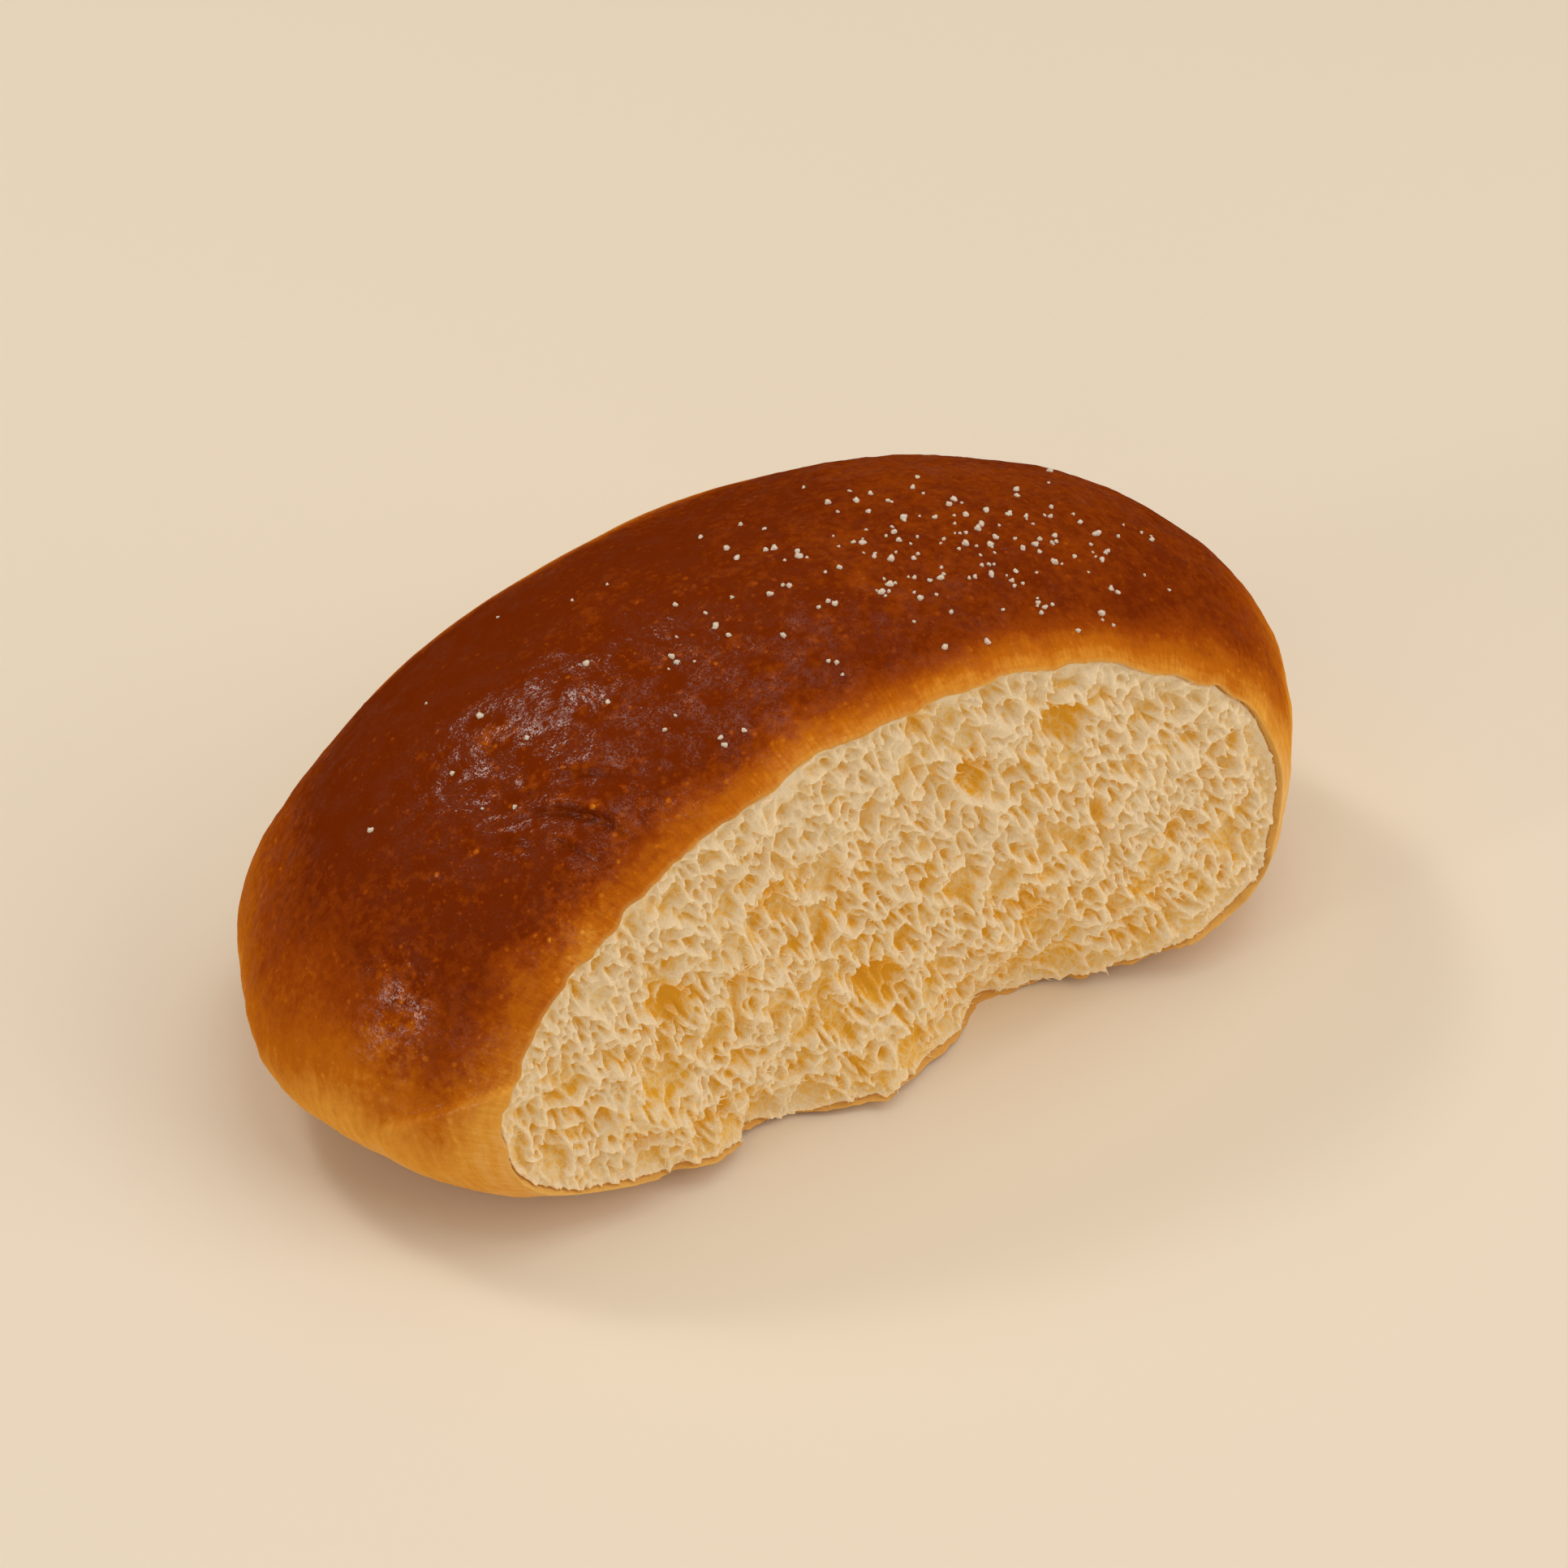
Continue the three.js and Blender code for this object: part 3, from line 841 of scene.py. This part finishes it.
# painted shade: amber in pits and cells, paler on ridges and towards the top; a lighter far end is painted
# light
hollow_shade = add(
    tree, stretch(tree, number(tree, "ridge"), -0.35, 0.25, 0.6, 0.05),
    stretch(tree, pit, 0.5, 3.0, 0.0, 0.5), stretch(tree, pit, 2.5, 6.0, 0.0, 0.4),
    stretch(tree, up, 0.004, 0.040, 0.20, -0.22), stretch(tree, along, 0.005, 0.045, 0.0, -0.10),
    stretch(tree, cloud(tree, where, 160.0, 4.0), 0.3, 0.7, -0.16, 0.16), 0.08, times(tree, web, -1.0),
)
skinned = stretch(tree, number(tree, "edge_gap"), 0.0, 0.5, 0.5, 0.0)
crumb_colour = blend(tree, skinned, ramp(tree, hollow_shade, CRUMB_SHADE_COLOURS), SKIN_COLOUR)
tree.links.new(crumb_colour, shader.inputs["Base Color"])
tree.links.new(ramp(tree, hollow_shade, PAINTED_GLOW_COLOURS), shader.inputs["Emission Color"])
fuzz = add(tree, cloud(tree, where, 2600.0, 4.0, 0.65), times(tree, web, 1.5))
tree.links.new(bumps(tree, fuzz, CRUMB_BUMP, 0.9), shader.inputs["Normal"])
print("crumb material nodes:", len(tree.nodes))

# %% [markdown]
# ## The bubbles
# Torn crumb is a foam: bubbles of many sizes with thin walls between them. A volume of foam would need
# millions of voxels for walls as thin as paper. Only the first layer shows, so a fine flat sheet is used
# instead: it is laid on the torn face and sinks, step by step, until every point of it has met the far
# wall of the bubble that it was in. Points that start on a wall stay where they are and become the
# ridges.

# %% Bubbles in the crumb
BUBBLES = {
    "Large Bubble": 4.4, "Small Bubble": 2.1, "Pore": 1.05, "Wall": 0.1, "Deepest": 2.4,
    "Sinks": 14, "Rounding": 5, "Seed": 0.0,
}
# how the foam is bent: waves to a millimetre, and size in millimetres
BENDS = [(0.2, 3.2), (0.8, 0.6)]
SQUASH = (1.0, 0.8, 0.85)
UNEVEN_FACE = 4.5

crumb_tree, crumb_in = geometry_tree("Torn crumb", BUBBLES)
tree = crumb_tree
place = put(tree, "GeometryNodeInputPosition").outputs[0]
_, depth, up = put(tree, "ShaderNodeSeparateXYZ", [place]).outputs
gap, top = number(tree, "edge_gap"), number(tree, "top")
shift = put(tree, "ShaderNodeCombineXYZ", [crumb_in["Seed"]] * 3).outputs[0]
moved = move(tree, "ADD", place, move(tree, "MULTIPLY", shift, (7.3, 11.1, 5.7)))
bent = moved
for scale, size in BENDS:
    swirl = move(tree, "SUBTRACT", cloud(tree, moved, scale, 1.0, 0.6, "Color"), HALF)
    bent = move(tree, "ADD", bent, move(tree, "MULTIPLY", swirl, (size, size, size)))
dough = move(tree, "MULTIPLY", bent, SQUASH)


def bubbles(size, wall, smallest, largest):
    """How far a place is inside the nearest round bubble of one size; negative in its wall."""
    scale = calc(tree, "DIVIDE", 1.0, size)
    edge = foam(tree, dough, scale, feature="DISTANCE_TO_EDGE")["Distance"]
    ball = foam(tree, dough, scale)
    luck = put(tree, "ShaderNodeSeparateXYZ", [ball["Color"]]).outputs[0]
    inside = calc(tree, "SUBTRACT", stretch(tree, luck, 0.0, 1.0, smallest, largest), ball["Distance"])
    edge = calc(tree, "SUBTRACT", times(tree, edge, size), times(tree, wall, 0.5))
    return calc(tree, "SMOOTH_MIN", edge, times(tree, inside, size), 0.1)


def sunk(geometry, amount):
    """The sheet with its points moved into the roll."""
    offset = put(tree, "ShaderNodeCombineXYZ", {"Y": amount}).outputs[0]
    return put(tree, "GeometryNodeSetPosition", {"Geometry": geometry, "Offset": offset}).outputs[0]


def kept(geometry, label, value):
    """A mesh with a number stored at each point."""
    values = {"Geometry": geometry, "Name": label, "Value": value}
    return put(tree, "GeometryNodeStoreNamedAttribute", values).outputs[0]


clump = stretch(tree, cloud(tree, moved, 0.16, 1.0, 0.6), 0.38, 0.6, 2.6, 0.2)
hole = calc(tree, "MAXIMUM", bubbles(crumb_in["Small Bubble"], crumb_in["Wall"], 0.5, 1.0),
            bubbles(crumb_in["Large Bubble"], clump, 0.5, 0.85))
hole = calc(tree, "MAXIMUM", hole, bubbles(crumb_in["Pore"], crumb_in["Wall"], 0.6, 1.0))
pit = calc(tree, "SUBTRACT", depth, top)
deepest = times(tree, crumb_in["Deepest"], stretch(tree, gap, 0.0, 3.0, 0.2, 1.0))
left = calc(tree, "SUBTRACT", deepest, pit)
sink = calc(tree, "MINIMUM", times(tree, hole, 0.8), left)
sink = put(tree, "ShaderNodeClamp", [sink, 0.0, 0.3]).outputs[0]
near_base = times(tree, stretch(tree, gap, 0.0, 0.2), stretch(tree, up, 3.0, 6.0, 1.0, 0.0))
sink = times(tree, sink, calc(tree, "MAXIMUM", stretch(tree, gap, 0.0, 0.5), near_base))
rough = times(tree, calc(tree, "SUBTRACT", cloud(tree, moved, 0.25, 2.0, 0.55), 0.5), UNEVEN_FACE)
print("bubble nodes:", len(tree.nodes))

# %% [markdown]
# ## Sinking the sheet
# A repeat zone moves the sheet a little at a time, and never further than the bubble allows. The points
# are then rounded off, mostly in the hollows, so that the ridges stay sharp. How deep each point sank and
# how far it stands over its neighbours are kept for the material.

# %% The sheet sinks
RIDGE_SPREAD = 16

sheet = sunk(crumb_in["Geometry"], times(tree, rough, stretch(tree, gap, 0.0, 2.5)))
sheet = kept(sheet, "top", depth)
loop_start = put(tree, "GeometryNodeRepeatInput")
loop_stop = put(tree, "GeometryNodeRepeatOutput")
loop_start.pair_with_output(loop_stop)
tree.links.new(crumb_in["Sinks"], loop_start.inputs["Iterations"])
tree.links.new(sheet, loop_start.inputs["Geometry"])
tree.links.new(sunk(loop_start.outputs["Geometry"], sink), loop_stop.inputs["Geometry"])
sheet = kept(loop_stop.outputs["Geometry"], "pit", pit)
soft = put(tree, "GeometryNodeBlurAttribute", {
    "Value": place, "Iterations": crumb_in["Rounding"],
    "Weight": stretch(tree, number(tree, "pit"), 0.1, 1.0, 0.12, 1.0),
}, data_type="FLOAT_VECTOR").outputs[0]
sheet = put(tree, "GeometryNodeSetPosition", {"Geometry": sheet, "Position": soft}).outputs[0]
calm = put(tree, "GeometryNodeBlurAttribute", {"Value": depth, "Iterations": RIDGE_SPREAD}).outputs[0]
sheet = kept(sheet, "ridge", calc(tree, "SUBTRACT", calm, depth))
close_tree(tree, sheet, crumb_look)
print("crumb tree nodes:", len(tree.nodes))

# %% [markdown]
# ## A sheet that fills a torn face
# The sheet must end exactly where the crust's edge is, or a crack would show. A grid of small squares is
# laid over the torn face, the squares outside the outline are dropped, and the last points are moved onto
# the outline. A skirt and a back close it, so that it is solid like the rest.

# %% A sheet that fills a torn face
SHEET_STEP = 0.115
OUTLINE_INSET = 0.12
EDGE_FADE = 1.5
SHEET_DEPTH = 7.5
BACK_TAPER = 0.04
TINY = 1e-12


def gap_to_outline(x, z, outline):
    """Distances to an outline, positive inside it, the nearest points on it and the stretch they are on."""
    gap = np.full(x.shape, 1e9)
    nearest = np.zeros(x.shape + (2,))
    stretch_of = np.zeros(x.shape, int)
    inside = np.zeros(x.shape, bool)
    for k, ((x0, z0), (x1, z1)) in enumerate(zip(outline, np.roll(outline, -1, axis=0))):
        run = (x - x0) * (x1 - x0) + (z - z0) * (z1 - z0)
        share = np.clip(run / ((x1 - x0) ** 2 + (z1 - z0) ** 2 + TINY), 0, 1)
        near_x, near_z = x0 + share * (x1 - x0), z0 + share * (z1 - z0)
        distance = np.hypot(x - near_x, z - near_z)
        closer = distance < gap
        gap = np.where(closer, distance, gap)
        nearest[closer] = np.stack([near_x, near_z], axis=-1)[closer]
        stretch_of[closer] = k
        crosses = (z0 > z) != (z1 > z)
        inside ^= crosses & (x < x0 + (z - z0) / (z1 - z0 + TINY) * (x1 - x0))
    return np.where(inside, gap, -gap), nearest, stretch_of


def torn_sheet(name, outline, lifts):
    """A closed flat sheet of small squares inside an outline, which keeps how far that outline is lifted."""
    low, high = outline.min(axis=0), outline.max(axis=0)
    lines = [np.arange(low[k], high[k], SHEET_STEP) for k in range(2)]
    x, z = np.meshgrid(*lines, indexing="ij")
    gap, nearest, stretch_of = gap_to_outline(x, z, outline)
    keep = gap > 0
    square = keep[:-1, :-1] & keep[1:, :-1] & keep[1:, 1:] & keep[:-1, 1:]
    index = np.arange(x.size).reshape(x.shape)
    quads = np.stack([index[:-1, :-1], index[1:, :-1], index[1:, 1:], index[:-1, 1:]], axis=-1)[square]
    sides = np.concatenate([quads[:, [k, (k + 1) % 4]] for k in range(4)])
    codes = sides[:, 0] * x.size + sides[:, 1]
    lone = sides[~np.isin(codes, sides[:, 1] * x.size + sides[:, 0])]
    rim = np.unique(lone)
    flat = np.stack([x.ravel(), np.zeros(x.size), z.ravel()], axis=1)
    flat[rim] = np.insert(nearest.reshape(-1, 2)[rim], 1, 0, axis=1)
    gap = gap.ravel()
    gap[rim] = 0
    used, order = np.unique(quads, return_inverse=True)
    quads = order.reshape(quads.shape)
    after = dict(zip(np.searchsorted(used, lone[:, 0]), np.searchsorted(used, lone[:, 1])))
    loop = [min(after)]
    while after[loop[-1]] != loop[0]:
        loop.append(after[loop[-1]])
    front = flat[used]
    back = front[loop] + [0, SHEET_DEPTH, 0]
    back[:, [0, 2]] += (back[:, [0, 2]].mean(axis=0) - back[:, [0, 2]]) * BACK_TAPER
    first = np.arange(len(loop))
    later = (first + 1) % len(loop)
    loop = np.array(loop)
    skirt = np.stack([loop[later], loop, len(front) + first, len(front) + later], axis=-1)
    mesh = bpy.data.meshes.new(name)
    faces = quads.tolist() + skirt.tolist() + [(len(front) + first).tolist()]
    mesh.from_pydata(np.concatenate([front, back]).tolist(), [], faces)
    keep_numbers(mesh, "edge_gap", np.concatenate([gap[used], np.full(len(back), -1.0)]))
    lift = lifts[stretch_of.ravel()[used]] * np.exp(-np.maximum(gap[used], 0) / EDGE_FADE)
    keep_numbers(mesh, "lift", np.concatenate([lift, np.zeros(len(back))]))
    return show(name, mesh)


# %% [markdown]
# ## Crumb on the two faces
# The flat sheet is grown into foam, thinned out where it is flat, and then bent: each point moves out to
# where the tear stands, with the large cells dented in and the shreds raised. Bending comes last, because
# the bubbles are easier to grow on a flat sheet.

# %% Crumb bent to the tears
TRIANGLE_LIMIT = 195000
RAGGED_FOOT = 1.2
RAGGED_HEIGHT = 3.0
SHRED_PAINTED_LIGHT = 0.12
SHRED_WANDER = 0.8
CELL_SHADE = 2.0
LOWEST = 0.05


def cell_dents(tear, x, z):
    """How deep the large open cells are at a place."""
    depth = np.zeros_like(x)
    for middle_x, middle_z, radius, deep in tear["cells"]:
        share = np.hypot(x - middle_x, z - middle_z) / radius
        depth = depth + deep * np.maximum(1 - share ** 2, 0)
    return depth


def shred_rise(tear, x, z):
    """How far torn shreds stand out: steep on one side of their line, fading on the other."""
    rise = RAGGED_FOOT * np.exp(-z / RAGGED_HEIGHT) * (0.6 + wander(x, tear["seed"]))
    for x0, z0, x1, z1, size, fade in tear["shreds"]:
        length = math.hypot(x1 - x0, z1 - z0)
        along = ((x - x0) * (x1 - x0) + (z - z0) * (z1 - z0)) / length
        beside = ((z - z0) * (x1 - x0) - (x - x0) * (z1 - z0)) / length
        beside = beside + SHRED_WANDER * wander(along, x0)
        ends = steps(0, 3, along) * steps(0, 3, length - along)
        slope = np.where(beside > 0, 1 - steps(0, 0.5, beside), np.exp(np.minimum(beside, 0) / fade))
        rise = rise + size * ends * slope
    return rise


def torn_crumb(name, tear, edge, normal):
    """The crumb that fills one tear."""
    outline = (edge + into_tear(normal) * OUTLINE_INSET)[::2, [0, 2]]
    lifts = tear["facing"] * edge[::2, 1] - tear_reach(tear, outline[:, 0], outline[:, 1])
    piece = torn_sheet(name, outline, lifts)
    triangles = grow(piece, crumb_tree, {"Seed": tear["seed"]})
    piece.modifiers.new("thin out flat parts", "DECIMATE").ratio = TRIANGLE_LIMIT / triangles
    piece.data = bpy.data.meshes.new_from_object(piece.evaluated_get(bpy.context.evaluated_depsgraph_get()))
    piece.modifiers.clear()
    print(name, "triangles:", triangles, "thinned out to", count_triangles(piece))
    mesh = piece.data
    flat = np.zeros(len(mesh.vertices) * 3, np.float32)
    mesh.vertices.foreach_get("co", flat)
    x, depth, z = flat.reshape(-1, 3).astype(float).T
    dents, rise = cell_dents(tear, x, z), shred_rise(tear, x, z)
    out = tear_reach(tear, x, z) + read_numbers(mesh, "lift") - dents + rise - depth
    bent = np.stack([x, tear["facing"] * out, np.maximum(z, LOWEST)], axis=1) + DOME_MIDDLE
    mesh.vertices.foreach_set("co", (bent * MM).ravel())
    # painted shade: the large cells are painted deeper amber, and the raised shreds paler as painted light
    add_numbers(mesh, "pit", CELL_SHADE * dents)
    add_numbers(mesh, "ridge", SHRED_PAINTED_LIGHT * rise)
    if tear["facing"] > 0:
        mesh.flip_normals()
    mesh.update()
    return piece


crumb_front = torn_crumb("crumb_front", FRONT, crust[:, 0], normals[:, 0])
crumb_back = torn_crumb("crumb_back", BACK, crust[:, -1], normals[:, -1])

# %% [markdown]
# ## Torn threads
# Where walls of the foam were pulled apart, thin threads of dough stand on the ridges and catch the
# light. One thread is a short bent curve that tapers to a point. Geometry Nodes scatter it on the crumb,
# most where the ridges are high, each with its own direction and length.

# %% Threads on the ridges
THREADS = {"Threads": 2.4, "Shortest": 0.35, "Longest": 1.0, "Thickness": 0.09, "Seed": 2}
PER_SQUARE_MM = 1e6
# one thread of length 1: start, middle and end
BOW = [(0.0, 0.0, -0.1), (0.0, 0.1, 0.55), (0.0, 0.45, 0.85)]

thread_tree, thread_in = geometry_tree("Crumb threads", THREADS)
tree = thread_tree
high = stretch(tree, number(tree, "ridge"), 0.08, 0.35)
amount = times(tree, high, thread_in["Threads"], PER_SQUARE_MM)
roots = put(tree, "GeometryNodeDistributePointsOnFaces", {
    "Mesh": thread_in["Geometry"], "Density": amount, "Seed": thread_in["Seed"]}).outputs
bow = put(tree, "GeometryNodeCurveQuadraticBezier", {
    "Resolution": 4, "Start": BOW[0], "Middle": BOW[1], "End": BOW[2]}).outputs[0]
ring = put(tree, "GeometryNodeCurvePrimitiveCircle", {
    "Resolution": 3, "Radius": thread_in["Thickness"]}).outputs[0]
taper = stretch(tree, put(tree, "GeometryNodeSplineParameter").outputs["Factor"], 0.0, 1.0, 1.0, 0.15)
thread = put(tree, "GeometryNodeCurveToMesh", {
    "Curve": bow, "Profile Curve": ring, "Scale": taper, "Fill Caps": True}).outputs[0]
sway = put(tree, "FunctionNodeRandomValue", {
    "Min": (-1.0, -1.0, -1.0), "Max": (1.0, 1.0, 1.0), "Seed": thread_in["Seed"],
}, data_type="FLOAT_VECTOR").outputs[0]
aim = move(tree, "ADD", move(tree, "MULTIPLY", roots["Normal"], HALF), sway)
aim = put(tree, "FunctionNodeAlignRotationToVector", {"Vector": aim}, axis="Z").outputs[0]
luck = put(tree, "FunctionNodeRandomValue", {"Seed": 5}, data_type="FLOAT").outputs[1]
longer = calc(tree, "SUBTRACT", thread_in["Longest"], thread_in["Shortest"])
size = add(tree, thread_in["Shortest"], times(tree, calc(tree, "POWER", luck, 2.0), longer))
threads = put(tree, "GeometryNodeInstanceOnPoints", {
    "Points": roots["Points"], "Instance": thread, "Rotation": aim, "Scale": times(tree, size, MM),
}).outputs[0]
threads = put(tree, "GeometryNodeRealizeInstances", [threads]).outputs[0]
for label, value in (("ridge", 0.3), ("edge_gap", 5.0)):
    threads = kept(threads, label, value)
close_tree(tree, threads, crumb_look)


def crumb_threads(name, crumb):
    """The threads on one torn face."""
    piece = show(name, crumb.data)
    print(name, "triangles:", grow(piece, thread_tree, THREADS))
    return piece


threads_front = crumb_threads("crumb_threads_front", crumb_front)
threads_back = crumb_threads("crumb_threads_back", crumb_back)

# %% [markdown]
# ## Sugar on the crown
# Coarse sugar fell on the far side of the crown and some grains rolled elsewhere. Each grain is a small
# lump of its own shape, so four lumps are made and scattered with random turns and sizes where the skin's
# sugar number is high.

# %% Sugar
SUGAR = {"Grains": 0.36, "Smallest": 0.35, "Largest": 0.9, "Seed": 4}
LUMPS = 4

sugar_look, _, _ = new_material(
    "sugar", Base_Color=(0.95, 0.80, 0.66, 1), Roughness=0.25, Transmission_Weight=0.3, IOR=1.5,
    Subsurface_Weight=0.3, Subsurface_Scale=0.0005,
)
sugar_tree, sugar_in = geometry_tree("Scattered sugar", SUGAR)
tree = sugar_tree
amount = times(tree, number(tree, "sugar"), sugar_in["Grains"], PER_SQUARE_MM)
spots = put(tree, "GeometryNodeDistributePointsOnFaces", {
    "Mesh": sugar_in["Geometry"], "Density": amount, "Seed": sugar_in["Seed"]}).outputs["Points"]
lumps = put(tree, "GeometryNodeJoinGeometry")
for k in range(LUMPS):
    ball = put(tree, "GeometryNodeMeshIcoSphere", {"Radius": 0.5, "Subdivisions": 2}).outputs["Mesh"]
    place = put(tree, "GeometryNodeInputPosition").outputs[0]
    cut = foam(tree, move(tree, "ADD", place, (k * 3.1, k * 1.7, 0.0)), 1.6)["Distance"]
    factor = stretch(tree, cut, 0.1, 0.8, 1.25, 0.6)
    shaped = put(tree, "ShaderNodeVectorMath", {0: place, "Scale": factor}, operation="SCALE").outputs[0]
    ball = put(tree, "GeometryNodeSetPosition", {"Geometry": ball, "Position": shaped}).outputs[0]
    tree.links.new(put(tree, "GeometryNodeGeometryToInstance", [ball]).outputs[0], lumps.inputs[0])
turns = put(tree, "FunctionNodeRandomValue", {
    "Max": (6.3, 6.3, 6.3), "Seed": sugar_in["Seed"]}, data_type="FLOAT_VECTOR").outputs[0]
luck = put(tree, "FunctionNodeRandomValue", {"Seed": 9}, data_type="FLOAT").outputs[1]
sizes = stretch(tree, calc(tree, "POWER", luck, 1.6), 0.0, 1.0,
                times(tree, sugar_in["Smallest"], MM), times(tree, sugar_in["Largest"], MM))
kinds = put(tree, "FunctionNodeRandomValue", {4: 0, 5: LUMPS - 1, "Seed": 21}, data_type="INT").outputs[2]
grains = put(tree, "GeometryNodeInstanceOnPoints", {
    "Points": spots, "Instance": lumps.outputs[0], "Pick Instance": True, "Instance Index": kinds,
    "Rotation": turns, "Scale": sizes}).outputs[0]
close_tree(tree, grains, sugar_look)
sugar_piece = show("sugar_grains", crust_piece.data)
print("sugar triangles:", grow(sugar_piece, sugar_tree, SUGAR))

# %% [markdown]
# ## The floor and the light
# The roll lies on a pale table in a bright room, with a window behind it and one at its left. Each window
# is a large soft lamp with a smaller one in its middle, which gives the glaze its small bright flashes.
# The rest of the room is three wide, weak lamps and a warm background.

# %% Floor and light
TABLE = 2.0
LAMP_COLOUR = (1.0, 0.94, 0.87)
ROOM_COLOUR = (1.0, 0.89, 0.73, 1)
ROOM_STRENGTH = 0.27
# lamps: name, place in metres, side in metres, and power in watts
LAMPS = [
    ("window_back", (-0.20, 0.56, 0.69), 0.26, 1.1),
    ("window_back_pane", (-0.20, 0.56, 0.69), 0.11, 0.8),
    ("window_left", (-0.88, -0.03, 0.30), 0.26, 0.9),
    ("window_left_pane", (-0.88, -0.03, 0.30), 0.12, 0.5),
    ("lamp_above", (-0.28, 0.0, 0.90), 0.08, 0.15),
    ("room_left", (-0.62, -0.62, 0.50), 0.80, 1.7),
    ("room_front", (0.60, -0.64, 0.52), 0.80, 3.9),
    ("ceiling", (0.42, 0.0, 1.2), 1.20, 6.7),
]

floor_look = new_material("floor", Base_Color=(0.775, 0.69, 0.57, 1), Roughness=0.6)[0]
floor_mesh = bpy.data.meshes.new("floor")
corners = [(-TABLE, -TABLE, 0), (TABLE, -TABLE, 0), (TABLE, TABLE, 0), (-TABLE, TABLE, 0)]
floor_mesh.from_pydata(corners, [], [(0, 1, 2, 3)])
floor_mesh.materials.append(floor_look)
show("floor", floor_mesh)
for name, spot, size, power in LAMPS:
    data = bpy.data.lights.new(name, "AREA")
    data.energy, data.size, data.color = power, size, LAMP_COLOUR
    lamp = show(name, data)
    lamp.location = spot
    lamp.rotation_euler = Vector(spot).to_track_quat("Z", "Y").to_euler()
world = bpy.data.worlds.new("room")
bpy.context.scene.world = world
world.use_nodes = True
background = world.node_tree.nodes["Background"].inputs
background["Color"].default_value = ROOM_COLOUR
background["Strength"].default_value = ROOM_STRENGTH
bpy.context.scene.view_settings.view_transform = "Standard"
print("lamps:", len(LAMPS))

# %% [markdown]
# ## Handing over
# The roll has no moving parts, so every piece rides on the frame's root. Together they take the place of
# the plain solid.

# %% Hand the pieces to the frame
for piece in (crust_piece, crumb_front, crumb_back, threads_front, threads_back, sugar_piece):
    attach(piece, "root")
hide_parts(NODE)
